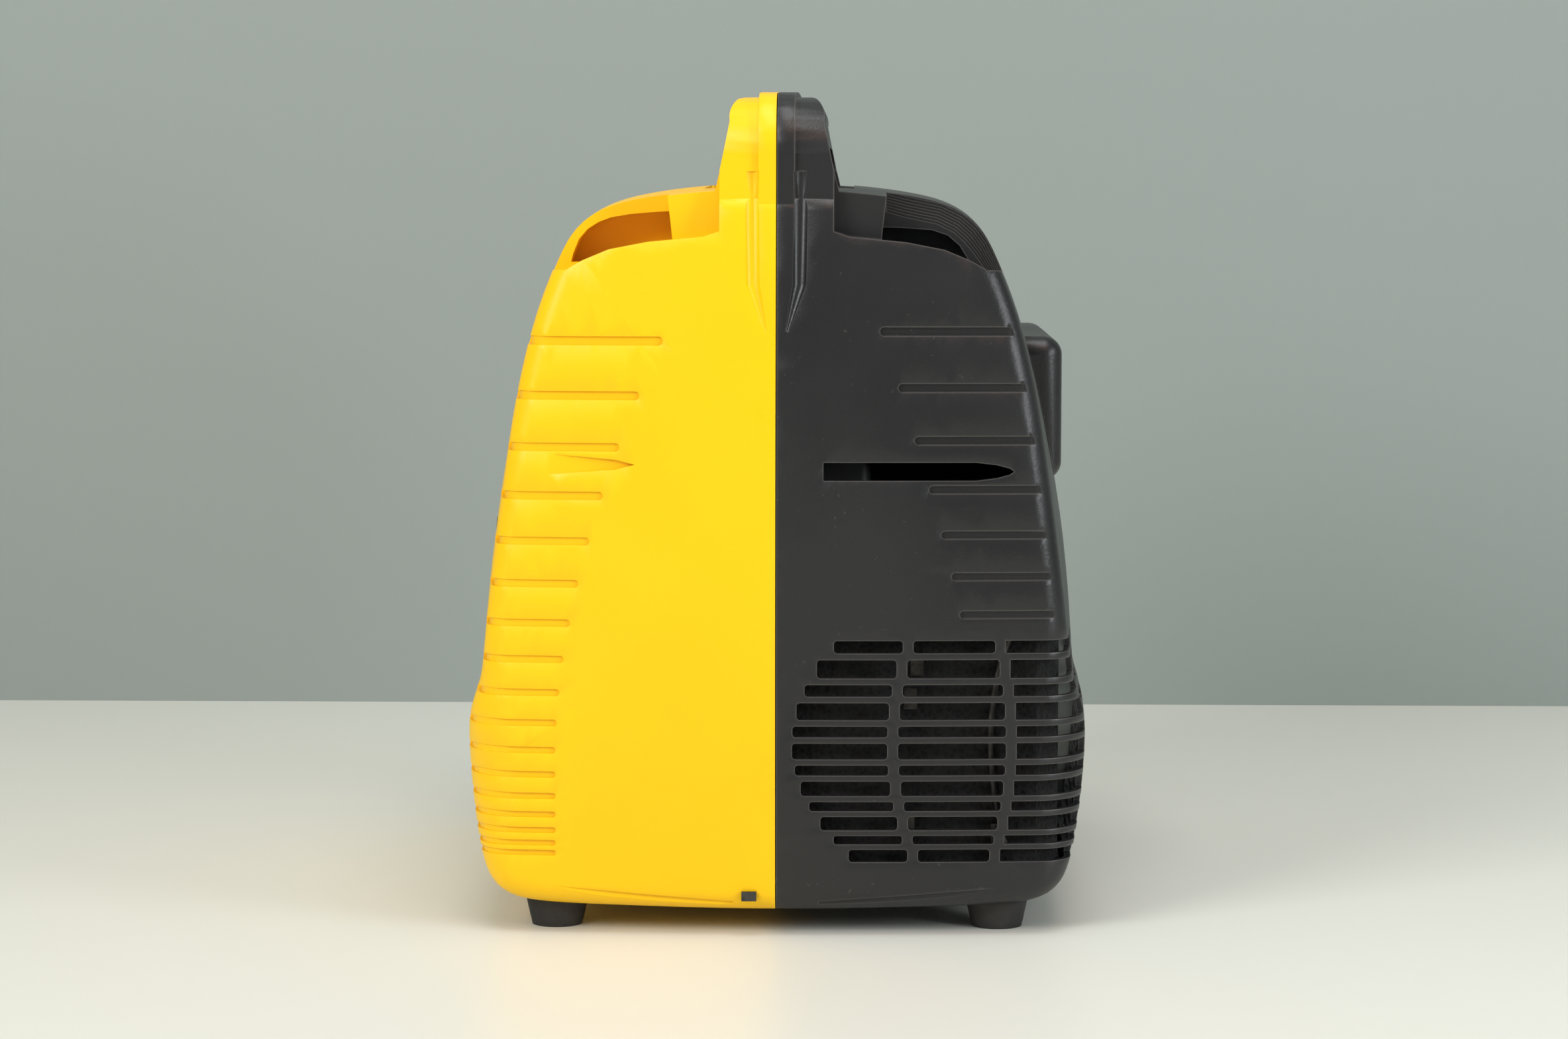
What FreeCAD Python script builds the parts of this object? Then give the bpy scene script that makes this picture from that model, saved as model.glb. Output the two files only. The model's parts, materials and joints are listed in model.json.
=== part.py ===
import FreeCAD, Part
import math
import os

from FreeCAD import Vector as V

os.makedirs("parts", exist_ok=True)

# ---------------------------------------------------------------- overall sizes (mm)
WIDTH = 300.0            # across the hips of the casing
LENGTH = 366.0           # between the crowned end faces
HEIGHT = 396.5           # floor to the top of the carrying handle
BODY_TOP = 351.0         # roof of the casing beside the handle
BODY_BASE = 11.5         # underside of the casing
WALL = 3.0               # casing wall
END_CROWN = 1500.0       # crown radius of the end faces
RIM_ROUND = 9.0          # rounding where an end face meets the flanks
HIP_ROUND = 17.0         # added to that rounding at the hips
ROOF_FALL = 3.0          # drop of the roof from the middle to the ends
SEAM_GAP = 0.25          # half of the gap between the two casing halves

# half-width of the casing at mid length, by height
FLANK = [
    (351.0, 0.0), (351.0, 26.0), (350.0, 42.0), (347.5, 62.0), (344.0, 79.0), (339.0, 89.5), (333.0, 96.5),
    (326.0, 101.5), (317.0, 105.8), (304.0, 111.3), (289.0, 116.8), (270.0, 122.4), (250.0, 127.6), (230.0, 132.0),
    (210.0, 136.0), (190.0, 139.4), (170.0, 141.9), (150.0, 143.5), (135.0, 144.2), (124.0, 144.6), (116.5, 145.8),
    (109.5, 148.3), (103.0, 149.8), (96.0, 150.2), (86.0, 149.8), (70.0, 148.4), (54.0, 146.2), (38.0, 143.2),
    (27.5, 140.0), (20.5, 135.0), (16.0, 127.0), (14.0, 116.0), (13.0, 96.0), (12.2, 60.0), (11.5, 26.0), (11.5, 0.0)]

# grooves of the end faces
GROOVE_DEPTH = 1.6
LEFT_GROOVES = 17        # stack of grooves on the left half
LEFT_TOP = 279.4         # height of the highest one
LEFT_PITCH = 25.3        # distance to the next one
LEFT_SHRINK = 1.37       # taken off that distance at every step down
LEFT_HEIGHT = 4.2        # height of the highest groove, shrinking downwards

RIGHT_GROOVES = 8
RIGHT_TOP = 284.0
RIGHT_PITCH = 26.0
RIGHT_SHRINK = 1.65
RIGHT_HEIGHT = 4.2

# end slot and its blind twin
SLOT_Z = 219.3
SLOT_HEIGHT = 8.4
SLOT_FROM = 22.0
SLOT_TO = 110.5
SCOOP_FROM = 65.5
SCOOP_TO = 116.0

# intake grille low on the right half
GRILLE_TOP = 140.6
GRILLE_ROWS = 12
GRILLE_SMALL = 5.9
GRILLE_LARGE = 8.9
GRILLE_BAR = 3.1
GRILLE_LEFT = 7.5        # deepest reach towards the seam
GRILLE_MID = 92.0        # height of that reach
BAR1_X = 54.5
BAR2_X = 110.0
BAR_WIDTH = 5.0

# channel across the roof at both ends
CHANNEL_NEAR = 163.0     # distance of its outer wall from mid length
CHANNEL_FAR = 140.0
CHANNEL_FLOOR = 311.0
CHANNEL_INNER = 47.0
MOUTH_FAR = 116.0        # depth of the mouth under the roof lip
MOUTH_FROM = 49.0
LEFT_MOUTH = [(339.0, 49.0), (338.3, 63.0), (336.8, 75.5), (335.0, 82.0), (332.3, 87.5), (328.5, 92.0), (323.0, 95.5),
              (315.0, 97.5)]      # height and reach of its roof, left half
RIGHT_MOUTH = [(331.5, 49.0), (331.0, 68.0), (329.5, 77.0), (326.0, 83.0), (320.0, 88.0), (315.0, 90.0)]
LINER = 2.4

# carrying handle
GRIP_HALF = 21.5
LEG_HALF = 28.0
HANDLE_END = 171.3       # outer face of a handle leg
HANDLE_LEG = 29.0        # leg thickness along the length
GRIP_UNDER = 369.0
RIDGE_HALF = 8.4
RIDGE_RISE = 2.5
HAND_DIP = 14.0

# fine ribs over the right shoulder
RIBS = 8
RIB_PITCH = 4.2
RIB_SLOPE = 10.0         # how far the ribbed slope drops towards the channel

# filler cap in its well on the left roof
CAP_X = -62.0
CAP_Y = 20.0
WELL_R = 31.0
WELL_FLOOR = 324.0
NECK_R = 18.0

# service cover, exhaust outlet (left flank)
COVER_Y0, COVER_Y1 = -112.0, 24.0
COVER_Z0, COVER_Z1 = 58.0, 190.0
KNOB_Y, KNOB_Z = 4.0, 172.0
OUTLET_Y, OUTLET_Z, OUTLET_R = 118.0, 166.0, 27.0

# control hood and panel (right flank)
HOOD_X = 137.2
HOOD_HALF = 90.0
HOOD_Z0, HOOD_Z1 = 208.0, 278.0
PANEL_HALF = 80.0
PANEL_Z0, PANEL_Z1 = 212.0, 271.0
PANEL_FACE = 129.2

# starter grip pocket (right flank)
POCKET_X = 120.0
POCKET_Y0, POCKET_Y1 = 46.0, 144.0
POCKET_Z0, POCKET_Z1 = 150.0, 178.0
GRIP_Y, GRIP_Z = 95.0, 164.0

# feet
FOOT_X = 104.8
FOOT_Y = 143.0
FOOT_TOP_R = 16.0
FOOT_BOTTOM_R = 12.0

HALF_L = LENGTH / 2.0
RING_SPLITS = [0, 8, 15, 25, 35, 45, 55, 62, 70]     # where the ring is divided into separate faces
CAP_CENTRE = 180.0       # height that the end faces are drawn in to
X_SCALE = WIDTH / 300.4


# ---------------------------------------------------------------- small helpers
def box(x0, x1, y0, y1, z0, z1):
    return Part.makeBox(x1 - x0, y1 - y0, z1 - z0, V(x0, y0, z0))


def rbox(x0, x1, y0, y1, z0, z1, r):
    b = box(x0, x1, y0, y1, z0, z1)
    return b.makeFillet(r, b.Edges)


def cyl(r, a, b):
    a, b = V(*a), V(*b)
    return Part.makeCylinder(r, (b - a).Length, a, b - a)


def cone(r1, r2, a, b):
    a, b = V(*a), V(*b)
    return Part.makeCone(r1, r2, (b - a).Length, a, b - a)


def prism(points, axis, lo, hi):
    """Extrude a polygon given in the two axes other than `axis`."""
    if axis == "x":
        pts = [V(lo, p[0], p[1]) for p in points]
        d = V(hi - lo, 0, 0)
    elif axis == "y":
        pts = [V(p[0], lo, p[1]) for p in points]
        d = V(0, hi - lo, 0)
    else:
        pts = [V(p[0], p[1], lo) for p in points]
        d = V(0, 0, hi - lo)
    w = Part.makePolygon(pts + [pts[0]])
    return Part.Face(w).extrude(d)


def join(shapes):
    s = shapes[0]
    if len(shapes) > 1:
        s = s.multiFuse(shapes[1:])
    return s


def ramp(v, lo, hi):
    t = max(0.0, min(1.0, (v - lo) / (hi - lo)))
    return t * t * (3 - 2 * t)


def mirror_y(shape):
    return shape.mirror(V(0, 0, 0), V(0, 1, 0))


# ---------------------------------------------------------------- casing form
def rim_at(z, rim):
    """Rim rounding at a height: wider at the hips; `rim` may be the outer or the inner one."""
    return rim + HIP_ROUND * math.exp(-((z - 78.0) / 40.0) ** 2)


def flank_ring(inset):
    right = [(x * X_SCALE, z) for z, x in FLANK]
    ring = right + [(-x, z) for x, z in reversed(right[1:-1])]
    n = len(ring)
    out = []
    for i in range(n):
        x0, z0 = ring[i - 1]
        x1, z1 = ring[(i + 1) % n]
        dx, dz = x1 - x0, z1 - z0
        ln = math.hypot(dx, dz)
        # the ring runs clockwise seen from the near end, so this points inwards
        d = inset(ring[i][1]) if callable(inset) else inset
        out.append((ring[i][0] + d * dz / ln, ring[i][1] - d * dx / ln))
    return out


def ring_wire(inset, place, shrink=1.0):
    """Closed smooth wire round the casing; place(x, z) gives the length position of each point."""
    pts = []
    for x, z in flank_ring(inset):
        x, z = x * shrink, CAP_CENTRE + (z - CAP_CENTRE) * shrink
        y = place(x, z)
        f = (y / HALF_L) ** 2
        k = 0.028 + 0.045 * math.exp(-((z - 185.0) / 80.0) ** 2)
        pts.append(V(x * (1 - k * f), y, z - ROOF_FALL * f * ramp(z, 240.0, 345.0)))
    c = Part.BSplineCurve()
    c.buildFromPoles(pts, True, 3)
    knots = c.getKnots()
    edges = []
    for i, j in zip(RING_SPLITS[:-1], RING_SPLITS[1:]):
        part = c.copy()
        part.segment(knots[i], knots[j])
        edges.append(part.toShape())
    return Part.Wire(edges)


def casing_form(inset, rim):
    """Closed solid of the casing, moved inwards by `inset`, with its end rims rounded."""
    ball = END_CROWN - inset
    faces = []
    starts = []
    for s in (-1, 1):
        def end(x, z, back=0.0, s=s):
            return s * (HALF_L - END_CROWN + math.sqrt(ball ** 2 - x * x - (z - 170.0) ** 2) - back)

        arc = []
        for a in (0.0, 30.0, 60.0, 90.0):
            t = math.radians(a)
            arc.append(ring_wire(lambda z, c=1 - math.cos(t): inset + rim_at(z, rim) * c,
                                 lambda x, z, b=1 - math.sin(t): end(x, z, rim_at(z, rim) * b)))
        cap = [arc[-1]] + [ring_wire(lambda z: inset + rim_at(z, rim), end, k) for k in (0.7, 0.4, 0.1)]
        starts.append(arc[0])
        faces += Part.makeLoft(arc, False, False).Faces
        faces += Part.makeLoft(cap, False, False).Faces
        last = cap[-1]
        faces.append(Part.makeFilledFace(last.Edges))
    mid = [starts[0]] + [ring_wire(inset, lambda x, z, y=y: y) for y in (-95.0, 0.0, 95.0)] + [starts[1]]
    faces += Part.makeLoft(mid, False, False).Faces
    shell = Part.makeShell(faces)
    shell.sewShape(1e-3)
    return Part.Solid(shell)


def end_y(x, z):
    """Near end face: y of the crowned surface (negative)."""
    return -HALF_L + END_CROWN - math.sqrt(END_CROWN ** 2 - x * x - (z - 170.0) ** 2)


def flank_x(y, z):
    """Half-width of the casing at a place on the flank."""
    half = 0.0
    for (za, xa), (zb, xb) in zip(FLANK[1:-1], FLANK[2:-1]):
        if zb <= z <= za and za > zb:
            half = xa + (xb - xa) * (za - z) / (za - zb)
    k = 0.028 + 0.045 * math.exp(-((z - 185.0) / 80.0) ** 2)
    return half * X_SCALE * (1 - k * (y / HALF_L) ** 2)


def groove_tool(side, x_in, z, height, depth, wrap):
    """Cutter of one groove: from x_in round the vertical corner, `wrap` long on the flank."""
    r = rim_at(z, RIM_ROUND)
    xr = flank_x(-HALF_L + r, z)
    y_c = end_y(xr - r, z) + r
    pts = [(x_in, end_y(x_in, z) + depth)]
    if x_in < xr - r:
        pts.append((xr - r, end_y(xr - r, z) + depth))
    for a in (15.0, 30.0, 45.0, 60.0, 75.0):
        t = math.radians(a)
        x = xr - r + (r - depth) * math.sin(t)
        if x > x_in + 1.0:
            pts.append((x, y_c - (r - depth) * math.cos(t)))
    y_w = max(-HALF_L + wrap, y_c + 8.0)
    pts += [(flank_x(y_c, z) - depth, y_c), (flank_x(y_w, z) - depth, y_w), (xr + 12.0, y_w),
            (xr + 12.0, -HALF_L - 6.0), (x_in, -HALF_L - 6.0)]
    tool = prism([(side * x, y) for x, y in pts], "z", z - height / 2, z + height / 2)
    end = cyl(height / 2, (side * x_in, -HALF_L - 6.0, z), (side * x_in, end_y(x_in, z) + depth, z))
    return tool.fuse(end)


def groove_rows(count, top, pitch, shrink, height):
    rows = []
    z = top
    for i in range(count):
        rows.append((z, height * (0.972 ** i)))
        z -= pitch
        pitch -= shrink
    return rows


def left_groove_start(z):
    return 104.5 - 50.0 * (max(0.0, z - 85.0) / 194.4) ** 1.75


def right_groove_start(z):
    return 90.0 - 40.0 * ((z - 135.0) / 149.0) ** 1.25


def right_groove_end(z):
    return flank_x(-HALF_L + 12.0, z) - 4.0


def grille_rows():
    rows = []
    z = GRILLE_TOP
    for i in range(GRILLE_ROWS):
        h = (GRILLE_SMALL if i % 2 == 0 else GRILLE_LARGE) * (1 - 0.030 * i)
        rows.append((z - h, z))
        z -= h + GRILLE_BAR * (1 - 0.018 * i)
    return rows


def grille_limits(z):
    """x limits of the three columns on the end face at height z."""
    m = (z - GRILLE_MID) / 50.0
    left = GRILLE_LEFT + 23.5 * m * m
    bar1 = BAR1_X + 8.5 * m * m
    bar2 = BAR2_X - 6.5 * m * m
    h = BAR_WIDTH / 2
    return [(left, bar1 - h), (bar1 + h, bar2 - h)], bar2 + h


def slot_block(x0, x1, y0, y1, z0, z1):
    r = min(1.6, 0.3 * (z1 - z0))
    b = box(x0, x1, y0, y1, z0, z1)
    es = [e for e in b.Edges if abs(e.BoundBox.YMax - e.BoundBox.YMin) > (y1 - y0) * 0.9]
    return b.makeFillet(r, es)


def bullet(x_from, x_to, z, h, y0, y1, side):
    """Bar with a square end at x_from and a pointed round end at x_to."""
    r = h / 2
    pts = [(x_from, z - r), (x_to - 4.2 * r, z - r), (x_to - 1.9 * r, z - 0.72 * r), (x_to - 0.5 * r, z - 0.34 * r),
           (x_to, z), (x_to - 0.5 * r, z + 0.34 * r), (x_to - 1.9 * r, z + 0.72 * r), (x_to - 4.2 * r, z + r),
           (x_from, z + r)]
    return prism([(side * a, b) for a, b in pts], "y", y0, y1)


def slot_zone(x0, x1, y0, y1, z0, z1, r):
    """Bar along x with rounded corners in the y-z plane."""
    b = box(x0, x1, y0, y1, z0, z1)
    es = [e for e in b.Edges if e.BoundBox.XLength > (x1 - x0) * 0.9]
    return b.makeFillet(r, es)


def face_groove(x0, x1, z, h, depth):
    """Groove with round ends that follows the crown of the near end face."""
    r = h / 2
    y0 = -HALF_L - 5.0
    xs = [x0 + (x1 - x0) * i / 3.0 for i in range(4)]
    pts = [(x, end_y(x, z) + depth) for x in xs] + [(x1, y0), (x0, y0)]
    s = prism(pts, "z", z - r, z + r)
    return s.multiFuse([cyl(r, (x, y0, z), (x, end_y(x, z) + depth, z)) for x in (x0, x1)])


def shoulder_line(y0, drop, extra, far):
    """Outline of the right shoulder at y0, sunk by `drop` on the roof and less down the flank."""
    pts = [(p[1] * X_SCALE, p[0]) for p in FLANK[1:12]]
    f = (y0 / HALF_L) ** 2
    low, high = [], []
    for i in range(1, len(pts) - 1):
        dx, dz = pts[i + 1][0] - pts[i - 1][0], pts[i + 1][1] - pts[i - 1][1]
        ln = math.hypot(dx, dz)
        nx, nz = -dz / ln, dx / ln
        x, z = pts[i]
        d = (drop + extra) * ramp(z, 282.0, 334.0) + far
        k = 0.028 + 0.045 * math.exp(-((z - 185.0) / 80.0) ** 2)
        x, z = x * (1 - k * f), z - ROOF_FALL * f * ramp(z, 240.0, 345.0)
        low.append((x - d * nx, z - d * nz))
        high.append((x + 6.0 * nx, z + 6.0 * nz))
    low[0] = (CHANNEL_INNER + 4.0, low[0][1] if low[0][0] < CHANNEL_INNER + 4.0 else low[0][1])
    high[0] = (CHANNEL_INNER + 4.0, high[0][1])
    return low + high[::-1]


def rib_tool(i):
    """Step i of the ribbed slope over the right shoulder, with the fine groove beside it."""
    y = -CHANNEL_FAR - 0.5 + RIB_PITCH * i
    d = RIB_SLOPE * (1.0 - (i + 0.5) / RIBS)
    step = prism(shoulder_line(y, d, 0.0, 0.0), "y", y, y + RIB_PITCH + 0.01)
    groove = prism(shoulder_line(y, d, 0.0, 1.3), "y", y + RIB_PITCH * 0.62, y + RIB_PITCH + 0.01)
    return [step, groove]


def channel_cavity(side, grow):
    """Channel across the roof at the near end with the mouth under the roof lip."""
    g = grow
    a = prism([(side * (CHANNEL_INNER - g), CHANNEL_FLOOR - g), (side * (CHANNEL_INNER + 6.0 - g), 365.0),
               (side * 135.0, 365.0), (side * 135.0, CHANNEL_FLOOR - g)], "y", -CHANNEL_NEAR - g, -CHANNEL_FAR + g)
    line = LEFT_MOUTH if side < 0 else RIGHT_MOUTH
    pts = [(side * (MOUTH_FROM - g), CHANNEL_FLOOR + 4.0 - g), (side * (MOUTH_FROM - g), line[0][0] + g)]
    for (za, xa), (zb, xb) in zip(line[:-1], line[1:]):
        ln = math.hypot(xb - xa, zb - za)
        m = (side * (0.5 * (xa + xb) + g * (za - zb) / ln), 0.5 * (za + zb) + g * (xb - xa) / ln)
        pts.append(m)
    pts.append((side * (line[-1][1] + g), CHANNEL_FLOOR + 4.0 - g))
    b = prism(pts, "y", -CHANNEL_FAR - 6.0, -MOUTH_FAR + g)
    return a.fuse(b)


def panel_top_cut(side):
    """Lowers the top edge of the end panel outside the channel."""
    pts = [(26.5, 365.0), (26.5, 330.0), (34.0, 327.5), (60.0, 325.0), (78.0, 321.5), (90.0, 316.5), (98.0, 312.0),
           (140.0, 311.0), (140.0, 365.0)]
    return prism([(side * a, b) for a, b in pts], "y", -HALF_L - 20.0, -CHANNEL_NEAR + 0.5)


# ---------------------------------------------------------------- carrying handle
def handle_solid():
    e, t = HANDLE_END, HANDLE_LEG
    top = HEIGHT - RIDGE_RISE
    z0 = 322.0

    def arch(grow):
        g = grow
        pts = [V(0, -e - g * 0.4, z0), V(0, -e - g + 2.0, 366.0)]
        w = [Part.makeLine(pts[0], pts[1])]
        r = 24.0
        w.append(Part.Arc(pts[1], V(0, -e - g + 2.0 + r * 0.30, 366.0 + (top + g - 2.5 - 366.0) * 0.72),
                          V(0, -e - g + 2.0 + r, top + g - 2.5)).toShape())
        w.append(Part.Arc(V(0, -e - g + 2.0 + r, top + g - 2.5), V(0, 0, top + g),
                          V(0, e + g - 2.0 - r, top + g - 2.5)).toShape())
        w.append(Part.Arc(V(0, e + g - 2.0 - r, top + g - 2.5),
                          V(0, e + g - 2.0 - r * 0.30, 366.0 + (top + g - 2.5 - 366.0) * 0.72),
                          V(0, e + g - 2.0, 366.0)).toShape())
        w.append(Part.makeLine(V(0, e + g - 2.0, 366.0), V(0, e + g * 0.4, z0)))
        w.append(Part.makeLine(V(0, e + g * 0.4, z0), V(0, -e - g * 0.4, z0)))
        return Part.Face(Part.Wire(w))

    body = arch(0.0).extrude(V(2 * 45.0, 0, 0))
    body.translate(V(-45.0, 0, 0))
    # front outline: round-shouldered grip widening into the legs
    h = LEG_HALF
    g = GRIP_HALF
    left = [V(-h - 5.0, 0, z0), V(-h - 1.5, 0, 346.0), V(-h + 1.0, 0, 356.0), V(-h + 3.4, 0, 367.0), V(-g - 0.4, 0, HEIGHT - 15.5)]
    flank = Part.BSplineCurve()
    flank.interpolate(left)
    r = 11.0
    flank_r = Part.BSplineCurve()
    flank_r.interpolate([V(-p.x, 0, p.z) for p in reversed(left)])
    c1 = Part.Arc(left[-1], V(-g + 2.6, 0, top - 3.2), V(-g + r, 0, top)).toShape()
    c2 = Part.Arc(V(g - r, 0, top), V(g - 2.6, 0, top - 3.2), V(-left[-1].x, 0, left[-1].z)).toShape()
    wire = Part.Wire([flank.toShape(), c1, Part.makeLine(V(-g + r, 0, top), V(g - r, 0, top)), c2, flank_r.toShape(),
                      Part.makeLine(V(h + 5.0, 0, z0), V(-h - 5.0, 0, z0))])
    front = Part.Face(wire).extrude(V(0, 2 * HALF_L + 20, 0))
    front.translate(V(0, -HALF_L - 10, 0))
    body = body.common(front)
    ridge = arch(RIDGE_RISE).extrude(V(2 * RIDGE_HALF, 0, 0))
    ridge.translate(V(-RIDGE_HALF, 0, 0))
    hole = rbox(-60.0, 60.0, -e + t, e - t, 300.0, GRIP_UNDER, 12.0)
    return body.fuse(ridge).cut(hole)


def build_casing():
    outer = casing_form(0.0, RIM_ROUND)
    inner = casing_form(WALL, RIM_ROUND - WALL)
    shell = Part.Solid(Part.Compound([outer.Shells[0], inner.Shells[0].reversed()]))
    handle = handle_solid().cut(inner)

    adds = {-1: [], 1: []}
    cuts = {-1: [], 1: []}

    def both_ends(store, side, shape):
        store[side] += [shape, mirror_y(shape)]

    for side in (-1, 1):
        c = channel_cavity(side, 0.0)
        liner = channel_cavity(side, LINER).common(box(-150, 150, -HALF_L, -100, 300, 360)).common(outer)
        tab = box(*sorted((side * 20.0, side * (CHANNEL_INNER + 4.0))), -CHANNEL_NEAR - 4.0, -CHANNEL_FAR + 2.0,
                  306.0, 348.0).common(outer)
        both_ends(adds, side, liner)
        both_ends(adds, side, tab)
        both_ends(cuts, side, c)
        both_ends(cuts, side, panel_top_cut(side))
        # half-round screw pocket beside the seam rib
        top_y, mid_y, low_y = end_y(11.5, 352.0), end_y(10.8, 306.0), end_y(5.0, 285.0)
        both_ends(cuts, side, cyl(3.4, (side * 11.5, top_y - 0.2, 358.0), (side * 10.8, mid_y - 1.2, 306.0)).fuse(
            Part.makeSphere(3.4, V(side * 10.8, mid_y - 1.2, 306.0))).fuse(
            cone(3.4, 0.8, (side * 10.8, mid_y - 1.2, 306.0), (side * 5.0, low_y - 0.3, 284.0))))
        # tapered slit above the lower edge
        both_ends(cuts, side, prism([(side * 20.0, 14.6), (side * 20.0, 16.4), (side * 60.0, 19.4), (side * 103.0, 23.0),
                                     (side * 100.0, 18.2), (side * 60.0, 15.4)], "y", -HALF_L - 5.0,
                                    end_y(60.0, 18.0) + 2.2))
        # dip under the grip
        adds[side].append(prism([(-118.0, BODY_TOP + 2.0), (-94.0, BODY_TOP - HAND_DIP + 0.4),
                                 (-61.0, BODY_TOP - HAND_DIP - 2.6), (61.0, BODY_TOP - HAND_DIP - 2.6),
                                 (94.0, BODY_TOP - HAND_DIP + 0.4), (118.0, BODY_TOP + 2.0)],
                                "x", *sorted((0.0, side * 38.6))).common(outer))
        cuts[side].append(prism([(-112.0, BODY_TOP + 6.0), (-92.0, BODY_TOP - HAND_DIP + 3.0),
                                 (-60.0, BODY_TOP - HAND_DIP), (60.0, BODY_TOP - HAND_DIP),
                                 (92.0, BODY_TOP - HAND_DIP + 3.0), (112.0, BODY_TOP + 6.0)],
                                "x", *sorted((0.0, side * 36.0))))
        # holes for the feet
        for sy in (-1, 1):
            cuts[side].append(cyl(5.0, (side * FOOT_X, sy * FOOT_Y, 0.0), (side * FOOT_X, sy * FOOT_Y, 30.0)))

    # left half: grooves, blind twin of the slot, cap well, service opening, exhaust and hot-air outlets
    for z, h in groove_rows(LEFT_GROOVES, LEFT_TOP, LEFT_PITCH, LEFT_SHRINK, LEFT_HEIGHT):
        both_ends(cuts, -1, groove_tool(-1, left_groove_start(z), z, h, GROOVE_DEPTH, 38.0))
    both_ends(cuts, -1, prism([(-SCOOP_TO, SLOT_Z - 1.6), (-SCOOP_TO + 14.0, SLOT_Z - 1.6), (-SCOOP_FROM - 9.0, SLOT_Z + 0.6),
                               (-SCOOP_FROM, SLOT_Z + 2.9), (-SCOOP_FROM - 9.0, SLOT_Z + 5.2),
                               (-SCOOP_TO + 14.0, SLOT_Z + 7.4), (-SCOOP_TO, SLOT_Z + 7.4)],
                              "y", -HALF_L - 5.0, end_y(95.0, SLOT_Z) + 1.3))
    cx, cy = CAP_X, CAP_Y
    adds[-1].append(cyl(WELL_R + LINER, (cx, cy, WELL_FLOOR - LINER), (cx, cy, 352.0)).common(outer))
    cuts[-1].append(cyl(WELL_R, (cx, cy, WELL_FLOOR), (cx, cy, 360.0)))
    cuts[-1].append(cyl(NECK_R + 1.5, (cx, cy, WELL_FLOOR - 6.0), (cx, cy, WELL_FLOOR + 1.0)))
    cover_zone = slot_zone(-175.0, -110.0, COVER_Y0, COVER_Y1, COVER_Z0, COVER_Z1, 12.0)
    cuts[-1].append(cover_zone)
    cuts[-1].append(cyl(OUTLET_R + 0.0, (-175.0, OUTLET_Y, OUTLET_Z), (-115.0, OUTLET_Y, OUTLET_Z)))
    for i in range(6):
        z = 56.0 + 11.0 * i
        cuts[-1].append(slot_zone(-175.0, -120.0, 62.0, 148.0, z, z + 5.4, 2.4))

    # right half: grooves, end slot, intake grille, rib field, panel opening, grip pocket
    for z, h in groove_rows(RIGHT_GROOVES, RIGHT_TOP, RIGHT_PITCH, RIGHT_SHRINK, RIGHT_HEIGHT):
        x0 = right_groove_start(z) if z > 148.0 else 108.5
        x1 = right_groove_end(z)
        both_ends(cuts, 1, face_groove(x0, x1, z, h, GROOVE_DEPTH + 0.4))
    both_ends(cuts, 1, bullet(SLOT_FROM, SLOT_TO, SLOT_Z, SLOT_HEIGHT, -HALF_L - 5.0, -HALF_L + 22.0, 1))
    for z0, z1 in grille_rows():
        cols, x3 = grille_limits(0.5 * (z0 + z1))
        for x0, x1 in cols:
            both_ends(cuts, 1, slot_block(x0, x1, -HALF_L - 5.0, -HALF_L + 22.0, z0, z1))
        both_ends(cuts, 1, box(x3, 170.0, -HALF_L - 5.0, -HALF_L + 40.0, z0, z1))
        for y0, y1 in ((-138.0, -93.0), (-88.0, -43.0)):
            cuts[1].append(slot_zone(118.0, 172.0, y0, y1, z0, z1, min(1.6, 0.3 * (z1 - z0))))
    both_ends(adds, 1, prism(shoulder_line(-CHANNEL_FAR, RIB_SLOPE, 0.0, 4.6), "y", -CHANNEL_FAR,
                             -CHANNEL_FAR + RIB_PITCH * RIBS + 2.4).common(outer))
    for i in range(RIBS):
        for tool in rib_tool(i):
            both_ends(cuts, 1, tool)
    cuts[1].append(slot_zone(100.0, 172.0, -PANEL_HALF, PANEL_HALF, PANEL_Z0, PANEL_Z1, 4.0))
    for z in (27.5, 146.0):
        adds[1].append(box(2.0, 133.0, -HALF_L, -158.0, z, z + 2.5).fuse(box(114.0, 150.0, -170.0, -36.0, z, z + 2.5)).common(outer))
    pocket = rbox(POCKET_X, 190.0, POCKET_Y0, POCKET_Y1, POCKET_Z0, POCKET_Z1, 6.0)
    adds[1].append(rbox(POCKET_X - LINER, 190.0, POCKET_Y0 - LINER, POCKET_Y1 + LINER, POCKET_Z0 - LINER,
                        POCKET_Z1 + LINER, 8.0).common(outer))
    cuts[1].append(pocket)
    cuts[1].append(cyl(5.0, (POCKET_X - 10.0, GRIP_Y, GRIP_Z), (POCKET_X + 5.0, GRIP_Y, GRIP_Z)))

    halves = {}
    for side in (-1, 1):
        x0, x1 = (-220.0, -SEAM_GAP) if side < 0 else (SEAM_GAP, 220.0)
        zone = box(x0, x1, -260.0, 260.0, -20.0, 420.0)
        half = shell.common(zone)
        half = half.multiFuse([s.common(zone) for s in adds[side] + [handle]])
        halves[side] = half.cut(Part.Compound(cuts[side]))
    cover_gap = slot_zone(-175.0, -110.0, COVER_Y0 + 0.6, COVER_Y1 - 0.6, COVER_Z0 + 0.6, COVER_Z1 - 0.6, 11.4)
    cover = shell.common(cover_gap).cut(cyl(11.3, (-175.0, KNOB_Y, KNOB_Z), (-140.4, KNOB_Y, KNOB_Z)))
    cover = cover.cut(cyl(5.05, (-175.0, KNOB_Y, KNOB_Z), (-110.0, KNOB_Y, KNOB_Z)))
    return outer, inner, halves[-1], halves[1], cover


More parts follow.
